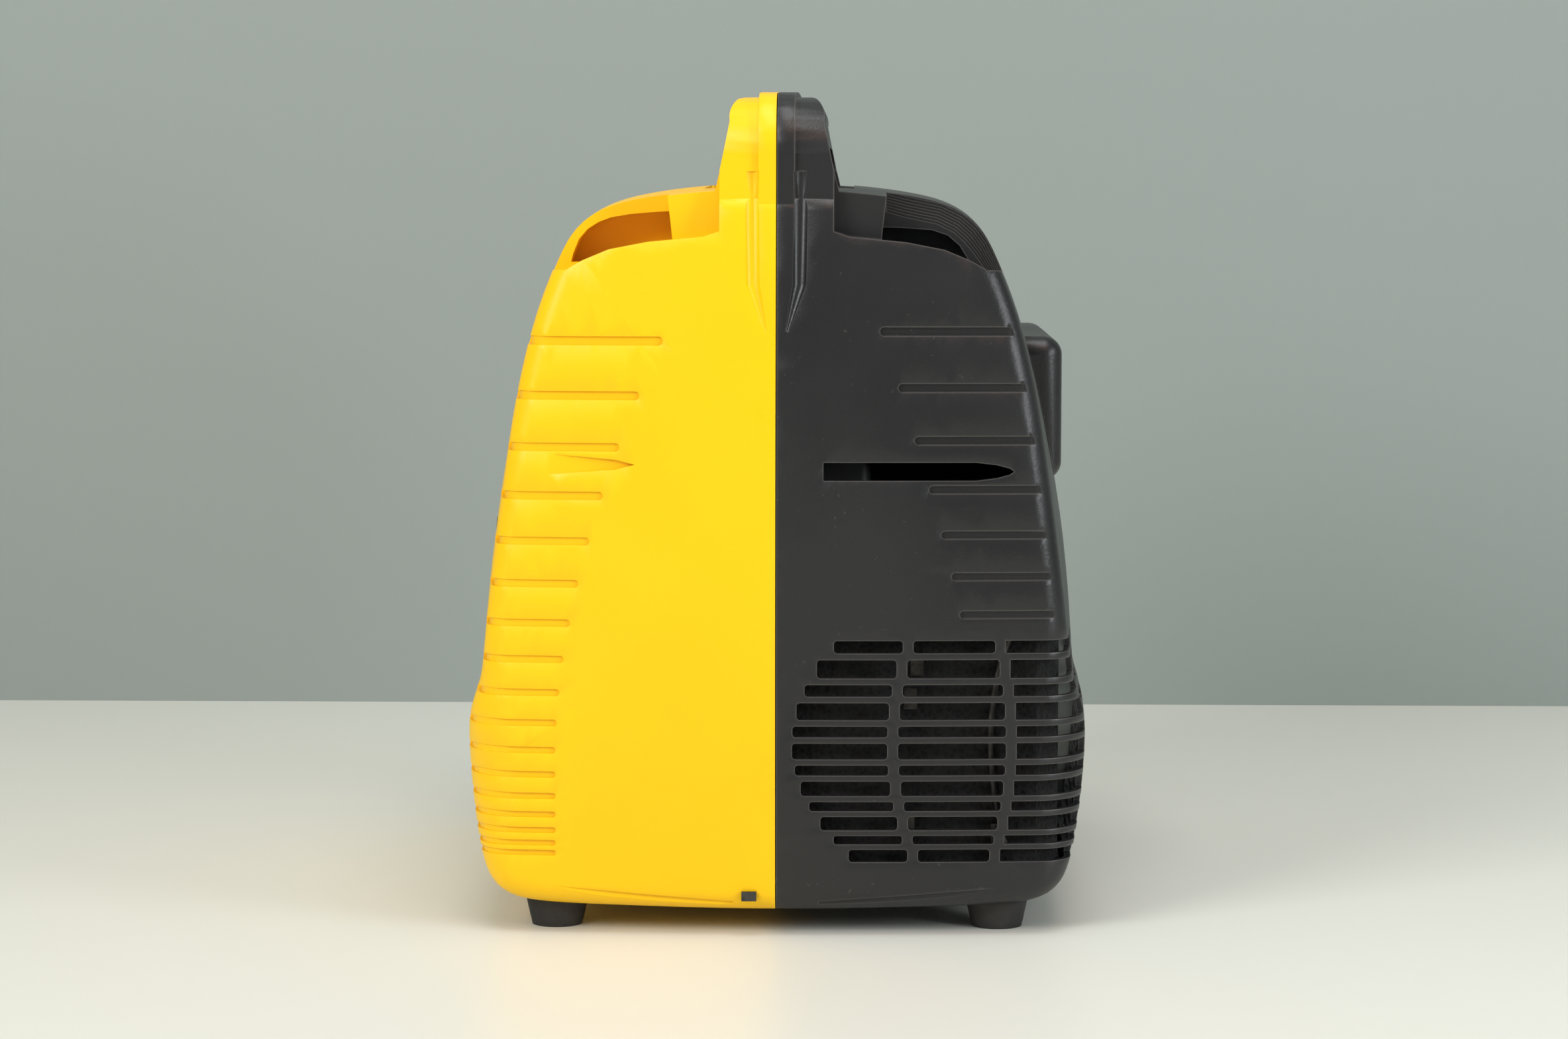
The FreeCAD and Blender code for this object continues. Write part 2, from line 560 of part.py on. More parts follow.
# ---------------------------------------------------------------- outside fittings
def build_hood(outer):
    body = rbox(96.0, HOOD_X, -HOOD_HALF, HOOD_HALF, HOOD_Z0, HOOD_Z1, 9.0)
    body = body.cut(slot_zone(90.0, PANEL_FACE, -PANEL_HALF, PANEL_HALF, PANEL_Z0, PANEL_Z1, 4.0))
    rim = box(PANEL_FACE - 1.0, 160.0, -PANEL_HALF + 3.0, PANEL_HALF - 3.0, PANEL_Z0 + 3.0, PANEL_Z1 - 3.0)
    es = [e for e in rim.Edges if e.BoundBox.XLength > 15]
    body = body.cut(rim.makeFillet(5.0, es))
    return body.cut(outer)


# places on the control panel (y, z)
AC_A, AC_B, AC_R = (-54.0, 238.0), (-11.0, 238.0), 18.5
DC_AT, DC_R = (26.0, 250.5), 10.5
USB_AT = (26.0, 224.5)
BREAKER_AT, BREAKER_R = (47.0, 224.5), 4.5
LED_AT = [(47.0, 257.0), (47.0, 249.0), (47.0, 241.0)]
MODE_AT, MODE_R = (64.0, 249.0), 10.5
ECO_AT = (64.0, 223.5)
LID_HINGE_Z = 258.0
PANEL_BACK = PANEL_FACE - 3.0


def build_panel():
    p = slot_zone(PANEL_BACK, PANEL_FACE, -PANEL_HALF, PANEL_HALF, PANEL_Z0, PANEL_Z1, 4.0)
    cuts = []
    for y, z in (AC_A, AC_B):
        cuts.append(cyl(AC_R - 1.0, (PANEL_FACE - 7.0, y, z), (PANEL_FACE + 3.0, y, z)))
    cuts.append(cyl(DC_R - 1.0, (PANEL_FACE - 7.0, DC_AT[0], DC_AT[1]), (PANEL_FACE + 3.0, DC_AT[0], DC_AT[1])))
    cuts.append(box(PANEL_FACE - 7.0, PANEL_FACE + 3.0, USB_AT[0] - 9.0, USB_AT[0] + 9.0, USB_AT[1] - 5.0, USB_AT[1] + 5.0))
    cuts.append(cyl(BREAKER_R + 1.5, (PANEL_FACE - 7.0, BREAKER_AT[0], BREAKER_AT[1]), (PANEL_FACE + 3.0, BREAKER_AT[0], BREAKER_AT[1])))
    for y, z in LED_AT:
        cuts.append(cyl(2.0, (PANEL_FACE - 7.0, y, z), (PANEL_FACE + 3.0, y, z)))
    cuts.append(cyl(3.05, (PANEL_FACE - 7.0, MODE_AT[0], MODE_AT[1]), (PANEL_FACE + 3.0, MODE_AT[0], MODE_AT[1])))
    cuts.append(box(PANEL_FACE - 7.0, PANEL_FACE + 3.0, ECO_AT[0] - 8.0, ECO_AT[0] + 8.0, ECO_AT[1] - 6.0, ECO_AT[1] + 6.0))
    return p.cut(Part.Compound(cuts))


def ac_socket(y, z):
    """Flush round outlet: cup behind the panel, collar in front, two hinge ears for the lid."""
    body = cyl(AC_R - 1.0, (PANEL_FACE - 29.0, y, z), (PANEL_FACE, y, z))
    collar = cyl(AC_R, (PANEL_FACE, y, z), (PANEL_FACE + 1.6, y, z))
    body = body.fuse(collar).cut(cyl(AC_R - 3.0, (PANEL_FACE - 19.0, y, z), (PANEL_FACE + 13.0, y, z)))
    core = cyl(AC_R - 3.0, (PANEL_FACE - 19.0, y, z), (PANEL_FACE - 16.0, y, z))
    for dy in (-9.5, 9.5):
        core = core.cut(cyl(2.4, (PANEL_FACE - 27.0, y + dy, z), (PANEL_FACE - 15.0, y + dy, z)))
    body = body.fuse(core)
    for s in (-1, 1):
        ear = box(PANEL_FACE, PANEL_FACE + 5.2, y + s * 11.0 - 1.5, y + s * 11.0 + 1.5, LID_HINGE_Z - 2.4, LID_HINGE_Z + 2.4)
        root = box(PANEL_FACE, PANEL_FACE + 1.6, y + s * 11.0 - 1.5, y + s * 11.0 + 1.5, z + 12.0, LID_HINGE_Z)
        body = body.fuse(ear).fuse(root)
    pin = cyl(0.8, (PANEL_FACE + 3.2, y - 12.5, LID_HINGE_Z), (PANEL_FACE + 3.2, y + 12.5, LID_HINGE_Z))
    return body.fuse(pin)


def ac_lid(y, z):
    plate = cyl(AC_R + 0.8, (PANEL_FACE + 2.2, y, z), (PANEL_FACE + 4.4, y, z))
    neck = box(PANEL_FACE + 2.2, PANEL_FACE + 4.4, y - 8.9, y + 8.9, z + 8.0, LID_HINGE_Z)
    barrel = cyl(1.9, (PANEL_FACE + 3.2, y - 9.0, LID_HINGE_Z), (PANEL_FACE + 3.2, y + 9.0, LID_HINGE_Z))
    tab = box(PANEL_FACE + 2.2, PANEL_FACE + 5.6, y - 5.0, y + 5.0, z - AC_R - 2.6, z - AC_R + 1.5)
    lid = plate.multiFuse([neck, barrel, tab])
    ears = [box(PANEL_FACE - 7.0, PANEL_FACE + 13.0, y + s * 11.0 - 1.9, y + s * 11.0 + 1.9, LID_HINGE_Z - 3.4, LID_HINGE_Z + 3.4) for s in (-1, 1)]
    lid = lid.cut(Part.Compound(ears))
    return lid.cut(cyl(0.86, (PANEL_FACE + 3.2, y - 14.0, LID_HINGE_Z), (PANEL_FACE + 3.2, y + 14.0, LID_HINGE_Z)))


def dc_socket():
    y, z = DC_AT
    b = cyl(DC_R - 1.0, (PANEL_FACE - 25.0, y, z), (PANEL_FACE, y, z)).fuse(cyl(DC_R + 1.0, (PANEL_FACE, y, z), (PANEL_FACE + 2.4, y, z)))
    b = b.cut(cyl(DC_R - 2.6, (PANEL_FACE - 21.0, y, z), (PANEL_FACE + 13.0, y, z)))
    return b.fuse(cyl(2.0, (PANEL_FACE - 22.0, y, z), (PANEL_FACE - 13.0, y, z)))


def usb_socket():
    y, z = USB_AT
    b = box(PANEL_FACE - 17.0, PANEL_FACE, y - 9.0, y + 9.0, z - 5.0, z + 5.0).fuse(
        rbox(PANEL_FACE, PANEL_FACE + 1.6, y - 11.0, y + 11.0, z - 7.0, z + 7.0, 0.6))
    for dy in (-4.6, 4.6):
        b = b.cut(box(PANEL_FACE - 13.0, PANEL_FACE + 13.0, y + dy - 3.4, y + dy + 3.4, z - 2.4, z + 2.4))
    return b


def breaker_parts():
    y, z = BREAKER_AT
    body = cyl(BREAKER_R + 1.5, (PANEL_FACE - 19.0, y, z), (PANEL_FACE, y, z)).fuse(
        cyl(BREAKER_R + 3.0, (PANEL_FACE, y, z), (PANEL_FACE + 1.4, y, z)))
    body = body.cut(cyl(BREAKER_R + 0.05, (PANEL_FACE - 13.0, y, z), (PANEL_FACE + 13.0, y, z)))
    button = cyl(BREAKER_R, (PANEL_FACE - 8.5, y, z), (PANEL_FACE + 4.6, y, z))
    button = button.makeFillet(0.8, [e for e in button.Edges if e.BoundBox.XMin > PANEL_FACE + 4.0])
    return body, button


def mode_parts():
    y, z = MODE_AT
    k = cyl(MODE_R, (PANEL_FACE + 0.6, y, z), (PANEL_FACE + 7.4, y, z))
    k = k.makeFillet(1.0, [e for e in k.Edges if e.BoundBox.XMin > PANEL_FACE + 7.0])
    for a in range(0, 360, 45):
        t = math.radians(a + 22.5)
        k = k.cut(cyl(2.2, (PANEL_FACE, y + 12.0 * math.cos(t), z + 12.0 * math.sin(t)),
                      (PANEL_FACE + 9.0, y + 12.0 * math.cos(t), z + 12.0 * math.sin(t))))
    grip = box(PANEL_FACE + 7.3, PANEL_FACE + 10.6, y - 2.2, y + 2.2, z - 8.6, z + 9.6)
    k = k.fuse(grip.makeFillet(0.7, grip.Edges)).fuse(cyl(3.0, (PANEL_FACE - 11.0, y, z), (PANEL_FACE + 2.0, y, z)))
    body = cyl(9.0, (PANEL_FACE - 25.0, y, z), (PANEL_BACK, y, z)).cut(cyl(3.6, (PANEL_FACE - 13.0, y, z), (PANEL_FACE + 3.0, y, z)))
    return body, k


def eco_parts():
    y, z = ECO_AT
    frame = box(PANEL_FACE - 17.0, PANEL_FACE, y - 8.0, y + 8.0, z - 6.0, z + 6.0).fuse(
        rbox(PANEL_FACE, PANEL_FACE + 1.4, y - 9.6, y + 9.6, z - 7.6, z + 7.6, 0.6))
    frame = frame.cut(box(PANEL_FACE - 13.0, PANEL_FACE + 13.0, y - 6.6, y + 6.6, z - 4.8, z + 4.8))
    frame = frame.cut(cyl(1.05, (PANEL_FACE - 3.5, y, z - 5.8), (PANEL_FACE - 3.5, y, z + 5.8)))
    pts = [(PANEL_FACE - 8.5, y - 2.2), (PANEL_FACE - 0.4, y - 5.4), (PANEL_FACE + 2.2, y - 5.3), (PANEL_FACE + 0.6, y), (PANEL_FACE + 2.2, y + 5.3), (PANEL_FACE - 0.4, y + 5.4),
           (PANEL_FACE - 8.5, y + 2.2)]
    rocker = prism(pts, "z", z - 4.2, z + 4.2).fuse(cyl(1.0, (PANEL_FACE - 3.5, y, z - 5.6), (PANEL_FACE - 3.5, y, z + 5.6)))
    return frame, rocker


def lamp(i):
    y, z = LED_AT[i]
    b = cyl(1.95, (PANEL_FACE - 11.0, y, z), (PANEL_FACE + 0.8, y, z))
    return b.fuse(Part.makeSphere(1.95, V(PANEL_FACE + 0.8, y, z)))


# ---------------------------------------------------------------- starter grip and guide
def starter_grip():
    y, z = GRIP_Y, GRIP_Z
    b = rbox(128.0, 146.0, y - 40.0, y + 40.0, z - 9.0, z + 9.0, 6.0)
    for s in (-1, 1):
        b = b.cut(rbox(125.0, 137.5, y + s * 25.0 - 12.5, y + s * 25.0 + 12.5, z - 14.0, z + 14.0, 4.5))
    b = b.cut(cyl(2.3, (120.0, y, z), (140.0, y, z)))
    return b.cut(cyl(5.0, (136.0, y, z), (150.0, y, z)))


def starter_guide():
    y, z = GRIP_Y, GRIP_Z
    g = cyl(4.9, (112.0, y, z), (POCKET_X, y, z)).fuse(cyl(7.5, (POCKET_X, y, z), (POCKET_X + 2.4, y, z)))
    return g.cut(cone(3.0, 4.6, (111.0, y, z), (POCKET_X + 2.5, y, z)))


# ---------------------------------------------------------------- filler cap
def filler_parts():
    x, y = CAP_X, CAP_Y
    top = 340.6
    cap = cyl(24.0, (x, y, 327.0), (x, y, top))
    cap = cap.makeFillet(2.0, [e for e in cap.Edges if e.BoundBox.ZMin > top - 0.5])
    flutes = [cyl(2.6, (x + 25.4 * math.cos(math.radians(a)), y + 25.4 * math.sin(math.radians(a)), 322.0),
                  (x + 25.4 * math.cos(math.radians(a)), y + 25.4 * math.sin(math.radians(a)), top + 2)) for a in range(0, 360, 20)]
    cap = cap.cut(Part.Compound(flutes))
    cap = cap.cut(cyl(NECK_R + 0.05, (x, y, 322.0), (x, y, 335.4)))
    cap = cap.cut(cyl(9.0, (x, y, top - 3.0), (x, y, top + 1.0))).cut(cyl(3.05, (x, y, 332.0), (x, y, top)))
    vent = cyl(7.6, (x, y, top - 2.6), (x, y, top + 1.6)).fuse(cyl(3.0, (x, y, 336.0), (x, y, top)))
    bar = box(x - 7.0, x + 7.0, y - 1.6, y + 1.6, top + 1.5, top + 3.4)
    vent = vent.fuse(bar)
    neck = cyl(NECK_R, (x, y, 316.5), (x, y, 335.0)).cut(cyl(NECK_R - 3.0, (x, y, 310.0), (x, y, 340.0)))
    return cap, vent, neck


# ---------------------------------------------------------------- engine and alternator
AXIS_Y, AXIS_Z = 30.0, 115.0


def ax(r, x0, x1):
    return cyl(r, (x0, AXIS_Y, AXIS_Z), (x1, AXIS_Y, AXIS_Z))


def crankshaft():
    s = ax(10.0, -55.0, 93.0)
    for x in (-32.0, 2.0):
        s = s.fuse(ax(34.0, x, x + 10.0))
    s = s.cut(box(-22.0, 2.0, 0.0, 60.0, 80.0, 150.0))
    return s.fuse(cyl(8.0, (-22.0, AXIS_Y, AXIS_Z + 20.0), (2.0, AXIS_Y, AXIS_Z + 20.0)))


def crankcase():
    b = rbox(-62.0, 30.0, -28.0, 88.0, 56.0, 162.0, 8.0)
    b = b.fuse(ax(20.0, 28.0, 42.0))
    b = b.cut(ax(38.0, -46.0, 14.0)).cut(ax(10.05, -56.0, 31.0)).cut(ax(13.0, 29.0, 44.0))
    b = b.fuse(cyl(11.0, (-58.0, -6.0, 88.0), (-84.0, -6.0, 106.0)))
    b = b.cut(cyl(8.05, (-60.0, -6.0, 89.4), (-90.0, -6.0, 110.1)))
    return b


def dipstick():
    a, d = V(-84.0, -6.0, 106.0), V(-26.0, 0, 18.0).normalize()
    head = Part.makeCylinder(14.0, 8.0, a + d * 0.4, d)
    head = head.makeFillet(2.0, [e for e in head.Edges if e.Length > 60])
    plug = Part.makeCylinder(8.0, 14.4, a - d * 14.0, d)
    rod = Part.makeCylinder(2.0, 12.0, a - d * 25.5, d)
    wing = box(-3.0, 3.0, -12.0, 12.0, 0.0, 6.0)
    wing.Placement = FreeCAD.Placement(a + d * 7.0, FreeCAD.Rotation(V(0, 0, 1), d))
    return head.multiFuse([plug, rod, wing])


def cylinder_block():
    x, y = -15.0, AXIS_Y
    parts = [cyl(30.0, (x, y, 162.0), (x, y, 214.0))]
    for i in range(6):
        parts.append(box(x - 42.0, x + 42.0, y - 42.0, y + 42.0, 168.0 + 7.6 * i, 170.2 + 7.6 * i))
    return join(parts).cut(cyl(22.0, (x, y, 160.0), (x, y, 216.0)))


def cylinder_head():
    x, y = -15.0, AXIS_Y
    parts = [box(x - 38.0, x + 38.0, y - 45.0, y + 45.0, 214.0, 231.0)]
    b = join(parts)
    for i in range(3):
        b = b.cut(box(x - 60.0, x - 26.0, y - 60.0, y + 60.0, 217.0 + 5.0 * i, 219.4 + 5.0 * i))
        b = b.cut(box(x + 26.0, x + 60.0, y - 60.0, y + 60.0, 217.0 + 5.0 * i, 219.4 + 5.0 * i))
    return b


def rotor():
    b = ax(62.0, 44.0, 80.0).cut(ax(50.0, 40.0, 75.0)).cut(ax(10.0, 40.0, 90.0))
    for a in range(0, 360, 60):
        t = math.radians(a)
        b = b.cut(cyl(7.0, (70.0, AXIS_Y + 32.0 * math.cos(t), AXIS_Z + 32.0 * math.sin(t)),
                      (90.0, AXIS_Y + 32.0 * math.cos(t), AXIS_Z + 32.0 * math.sin(t))))
    return b


def stator():
    b = ax(24.0, 42.0, 72.0)
    for a in range(0, 360, 30):
        arm = box(44.0, 70.0, -3.5, 3.5, 22.0, 47.0)
        arm.rotate(V(0, 0, 0), V(1, 0, 0), a)
        arm.translate(V(0, AXIS_Y, AXIS_Z))
        b = b.fuse(arm)
    return b.cut(ax(14.0, 40.0, 80.0))


def coil_windings():
    coils = []
    for a in range(0, 360, 30):
        c = box(42.6, 71.4, -6.0, 6.0, 29.0, 41.0).cut(box(40.0, 75.0, -3.5, 3.5, 20.0, 50.0).common(box(44.0, 70.0, -3.5, 3.5, 20, 50)))
        c.rotate(V(0, 0, 0), V(1, 0, 0), a)
        c.translate(V(0, AXIS_Y, AXIS_Z))
        coils.append(c)
    return Part.Compound(coils)


def fan():
    b = ax(34.0, 80.0, 83.0).fuse(ax(22.0, 83.0, 93.0))
    blades = []
    for a in range(0, 360, 24):
        w = box(80.3, 89.7, -1.0, 1.0, 32.0, 65.5)
        w.rotate(V(85.0, 0, 0), V(0, 0, 1), 18)
        w.rotate(V(0, 0, 0), V(1, 0, 0), a)
        w.translate(V(0, AXIS_Y, AXIS_Z))
        blades.append(w)
    b = b.multiFuse(blades + [ax(66.5, 80.0, 81.6).cut(ax(33.0, 79.0, 82.0))])
    return b.cut(ax(10.0, 70.0, 95.0)).cut(ax(18.0, 86.0, 96.0).cut(ax(12.0, 85.0, 97.0)))


def fan_shroud():
    b = ax(74.0, 34.0, 92.0).cut(ax(71.0, 30.0, 100.0))
    plate = ax(74.0, 34.0, 37.0).cut(ax(21.0, 30.0, 40.0)).cut(box(20.0, 50.0, -50.0, 110.0, 152.0, 200.0))
    b = b.fuse(plate)
    foot = box(40.0, 80.0, -8.0, 68.0, 21.0, 48.0).cut(ax(72.5, 30.0, 100.0))
    return b.fuse(foot)


def recoil_housing():
    b = ax(74.0, 107.0, 110.0).fuse(ax(74.0, 92.0, 107.5).cut(ax(71.0, 90.0, 107.0)))
    for a in range(0, 360, 30):
        w = slot_zone(100.0, 120.0, -5.0, 5.0, 44.0, 64.0, 4.5)
        w.rotate(V(0, 0, 0), V(1, 0, 0), a)
        w.translate(V(0, AXIS_Y, AXIS_Z))
        b = b.cut(w)
    return b.fuse(ax(6.0, 95.5, 107.5))


def recoil_pulley():
    b = ax(36.0, 96.0, 104.0).cut(ax(40.0, 98.6, 101.4).cut(ax(31.0, 90.0, 110.0))).cut(ax(6.05, 90.0, 110.0))
    for a in range(0, 360, 120):
        t = math.radians(a)
        b = b.cut(cyl(6.0, (90.0, AXIS_Y + 19.0 * math.cos(t), AXIS_Z + 19.0 * math.sin(t)),
                      (110.0, AXIS_Y + 19.0 * math.cos(t), AXIS_Z + 19.0 * math.sin(t))))
    return b


def hose(points, r):
    c = Part.BSplineCurve()
    c.interpolate([V(*p) for p in points])
    e = c.toShape()
    d = V(*points[1]) - V(*points[0])
    ring = Part.Wire(Part.makeCircle(r, V(*points[0]), c.tangent(c.FirstParameter)[0]))
    return Part.Wire(e).makePipeShell([ring], True, True)


def build_inside(outer, inner):
    p = {}
    p["crankshaft"] = crankshaft()
    p["crankcase"] = crankcase()
    p["dipstick"] = dipstick()
    p["cylinder_barrel"] = cylinder_block()
    p["cylinder_head"] = cylinder_head()
    p["valve_cover"] = rbox(-46.0, 16.0, 2.0, 58.0, 231.0, 246.0, 4.0)
    p["rotor"] = rotor()
    p["stator"] = stator()
    p["coil_windings"] = coil_windings()
    p["fan"] = fan()
    p["fan_shroud"] = fan_shroud()
    p["recoil_housing"] = recoil_housing()
    p["recoil_pulley"] = recoil_pulley()
    # fuel side
    tank = rbox(-90.0, 90.0, -108.0, 108.0, 254.0, 316.5, 13.0)
    tank = tank.cut(rbox(-87.5, 87.5, -105.5, 105.5, 256.5, 314.0, 11.0))
    p["fuel_tank"] = tank.cut(cyl(NECK_R - 3.0, (CAP_X, CAP_Y, 310.0), (CAP_X, CAP_Y, 320.0)))
    p["fuel_tap"] = cyl(6.0, (40.0, -60.0, 240.0), (40.0, -60.0, 254.0)).fuse(rbox(32.0, 48.0, -66.0, -54.0, 241.0, 247.0, 1.5))
    p["fuel_hose"] = hose([(40.0, -60.0, 240.0), (38.0, -58.0, 226.0), (24.0, -50.0, 214.0), (6.0, -42.0, 211.0)], 3.2)
    p["fuel_hose"] = p["fuel_hose"].cut(p["fuel_tap"])
    # intake side
    carb = rbox(-34.0, 6.0, -60.0, -24.0, 198.0, 228.0, 4.0).fuse(cyl(14.0, (-14.0, -42.0, 178.0), (-14.0, -42.0, 200.0)))
    p["carburettor"] = carb.cut(cyl(9.0, (-14.0, -65.0, 213.0), (-14.0, -20.0, 213.0)))
    p["fuel_hose"] = p["fuel_hose"].cut(p["carburettor"])
    p["intake_spacer"] = box(-34.0, 6.0, -24.0, -15.0, 214.0, 228.0).cut(cyl(6.0, (-14.0, -30.0, 221.0), (-14.0, -10.0, 221.0)))
    box_a = rbox(-72.0, 44.0, -152.0, -86.0, 152.0, 240.0, 5.0).cut(box(-69.0, 41.0, -149.0, -86.0 - 3.0, 155.0, 237.0))
    box_a = box_a.cut(cyl(9.0, (-14.0, -92.0, 213.0), (-14.0, -80.0, 213.0)))
    box_a = box_a.cut(box(-40.0, 20.0, -149.0, -120.0, 145.0, 160.0))
    p["air_cleaner_box"] = box_a
    p["intake_elbow"] = cyl(12.0, (-14.0, -86.0, 213.0), (-14.0, -60.0, 213.0)).cut(cyl(9.0, (-14.0, -90.0, 213.0), (-14.0, -50.0, 213.0)))
    p["air_filter"] = box(-69.0, 41.0, -118.0, -104.0, 155.0, 237.0)
    # exhaust side
    muff = rbox(-96.0, 2.0, 96.0, 166.0, 120.0, 212.0, 10.0)
    muff = muff.cut(rbox(-94.0, 0.0, 98.0, 164.0, 122.0, 210.0, 9.0))
    muff = muff.cut(cyl(9.0, (-97.0, OUTLET_Y, OUTLET_Z), (-92.0, OUTLET_Y, OUTLET_Z)))
    p["muffler"] = muff.cut(cyl(5.0, (-15.0, 116.0, 208.0), (-15.0, 116.0, 213.0)))
    p["exhaust_pipe"] = cyl(7.5, (-15.0, 75.0, 222.5), (-15.0, 116.0, 222.5)).multiFuse(
        [Part.makeSphere(7.5, V(-15.0, 116.0, 222.5)), cyl(7.5, (-15.0, 116.0, 222.5), (-15.0, 116.0, 212.0)),
         cyl(13.0, (-15.0, 75.0, 222.5), (-15.0, 79.0, 222.5))])
    p["tailpipe"] = cyl(11.0, (-96.0, OUTLET_Y, OUTLET_Z), (-130.0, OUTLET_Y, OUTLET_Z)).cut(
        cyl(9.0, (-90.0, OUTLET_Y, OUTLET_Z), (-131.0, OUTLET_Y, OUTLET_Z)))
    screen = cyl(9.0, (-120.0, OUTLET_Y, OUTLET_Z), (-124.0, OUTLET_Y, OUTLET_Z))
    holes = [cyl(1.5, (-118.0, OUTLET_Y + 4.6 * i, OUTLET_Z + 4.6 * j), (-126.0, OUTLET_Y + 4.6 * i, OUTLET_Z + 4.6 * j))
             for i in (-1, 0, 1) for j in (-1, 0, 1)]
    p["spark_screen"] = screen.cut(Part.Compound(holes))
    bezel = cyl(OUTLET_R, (-128.0, OUTLET_Y, OUTLET_Z), (-141.0, OUTLET_Y, OUTLET_Z)).cut(
        cone(12.0, 22.0, (-127.0, OUTLET_Y, OUTLET_Z), (-142.0, OUTLET_Y, OUTLET_Z)))
    p["outlet_bezel"] = bezel
    shield = box(-100.0, 6.0, 92.0, 170.0, 114.0, 214.0).cut(box(-98.8, 4.8, 93.2, 168.8, 100.0, 230.0))
    for y in (93.2, 166.0):
        for x in (-70.0, -30.0):
            shield = shield.fuse(box(x - 5.0, x + 5.0, y, y + 2.8, 150.0, 170.0))
    p["muffler_shield"] = shield.cut(cyl(13.0, (-110.0, OUTLET_Y, OUTLET_Z), (-90.0, OUTLET_Y, OUTLET_Z)))
    # ignition
    p["spark_plug"] = cyl(5.0, (-53.0, 48.0, 222.5), (-66.0, 48.0, 222.5)).fuse(cyl(8.0, (-54.0, 48.0, 222.5), (-58.0, 48.0, 222.5)))
    p["plug_boot"] = cyl(8.5, (-59.0, 48.0, 222.5), (-88.0, 48.0, 222.5)).cut(cyl(5.0, (-50.0, 48.0, 222.5), (-66.0, 48.0, 222.5)))
    p["ignition_coil"] = rbox(0.0, 28.0, -27.5, -13.0, 162.0, 184.0, 2.0)
    # electrics
    inv = rbox(14.0, 104.0, -152.0, -124.0, 36.0, 128.0, 3.0)
    fins = [box(18.0, 100.0, -124.0, -112.0, 40.0 + 9.0 * i, 43.0 + 9.0 * i) for i in range(10)]
    p["inverter"] = join([inv] + fins)
    p["panel_loom"] = hose([(92.0, -140.0, 128.0), (94.0, -139.0, 148.0), (99.0, -118.0, 184.0), (104.0, -84.0, 212.0),
                            (107.9, -62.0, 228.0)], 4.0).cut(ac_socket(*AC_A)).cut(p["inverter"])
    # frame
    base = box(-112.0, 112.0, -134.0, 134.0, 18.0, 21.0)
    for x in (-90.0, 90.0):
        base = base.fuse(box(x - 9.0, x + 9.0, -134.0, 134.0, 21.0, 27.0).cut(box(x - 7.0, x + 7.0, -140.0, 140.0, 17.0, 25.0)))
    for x in (-FOOT_X + 6.0, FOOT_X - 6.0):
        for y in (-110.0, 110.0):
            base = base.fuse(cyl(7.0, (x, y, 15.0), (x, y, 18.0)))
    base = base.cut(box(-60.0, -20.0, -80.0, -40.0, 10.0, 30.0)).cut(box(0.0, 50.0, -90.0, -50.0, 10.0, 30.0))
    for x in (30.0, 90.0):
        base = base.fuse(box(x - 6.0, x + 6.0, -134.0, -126.0, 20.0, 36.0))
    p["base_frame"] = base.common(inner)
    p["engine_bed"] = box(-70.0, 33.5, -36.0, 96.0, 48.0, 56.0)
    p["dampers"] = Part.Compound([
        cyl(11.0, (x, y, 21.0), (x, y, 48.0)).cut(cyl(14.0, (x, y, 31.0), (x, y, 38.0)).cut(cyl(8.5, (x, y, 30.0), (x, y, 39.0))))
        for x, y in ((-58.0, -22.0), (-58.0, 82.0), (20.0, -22.0), (20.0, 82.0))])
    # dark foam behind the grille and its clips
    foam = prism([(4.0, -167.0), (122.0, -167.0), (133.0, -151.0), (133.0, -38.0), (125.0, -38.0), (125.0, -148.0), (117.0, -159.0),
                  (4.0, -159.0)], "z", 30.0, 146.0)
    p["intake_foam"] = foam
    clips = [box(x - 3.0, x + 3.0, -169.5, -167.0, z - 5.0, z + 5.0) for x, z in ((66.0, 128.0), (63.0, 112.0), (62.0, 52.0), (104.0, 48.0))]
    guard = hose([(108.0, -168.6, 42.0), (103.0, -168.7, 64.0), (100.5, -168.7, 92.0), (103.0, -168.7, 120.0), (109.0, -168.6, 141.0)], 1.55)
    p["foam_clips"] = Part.Compound(clips + [guard])
    tail = p.pop("spark_screen")
    p["tailpipe"] = Part.Compound([p["tailpipe"], tail])
    p["intake_ducts"] = Part.Compound([p.pop("intake_spacer"), p.pop("intake_elbow")])
    p["fuel_line"] = Part.Compound([p.pop("fuel_tap"), p.pop("fuel_hose")])
    # small steel clips over the foot of the seam
    p["seam_clips"] = Part.Compound([box(-16.0, -9.0, s * end_y(12.0, 19.0) * -1 - 1.6, s * end_y(12.0, 19.0) * -1 + 1.6, 17.0, 21.5)
                                     for s in (-1, 1)]).cut(outer)
    return p


def foot(x, y, outer):
    b = cone(FOOT_BOTTOM_R, FOOT_TOP_R, (x, y, 0.0), (x, y, 18.0)).fuse(cyl(4.95, (x, y, 10.0), (x, y, 18.0)))
    b = b.cut(box(x - 20.0, x + 20.0, y - 2.5, y + 2.5, -1.0, 2.2))
    return b.cut(outer)


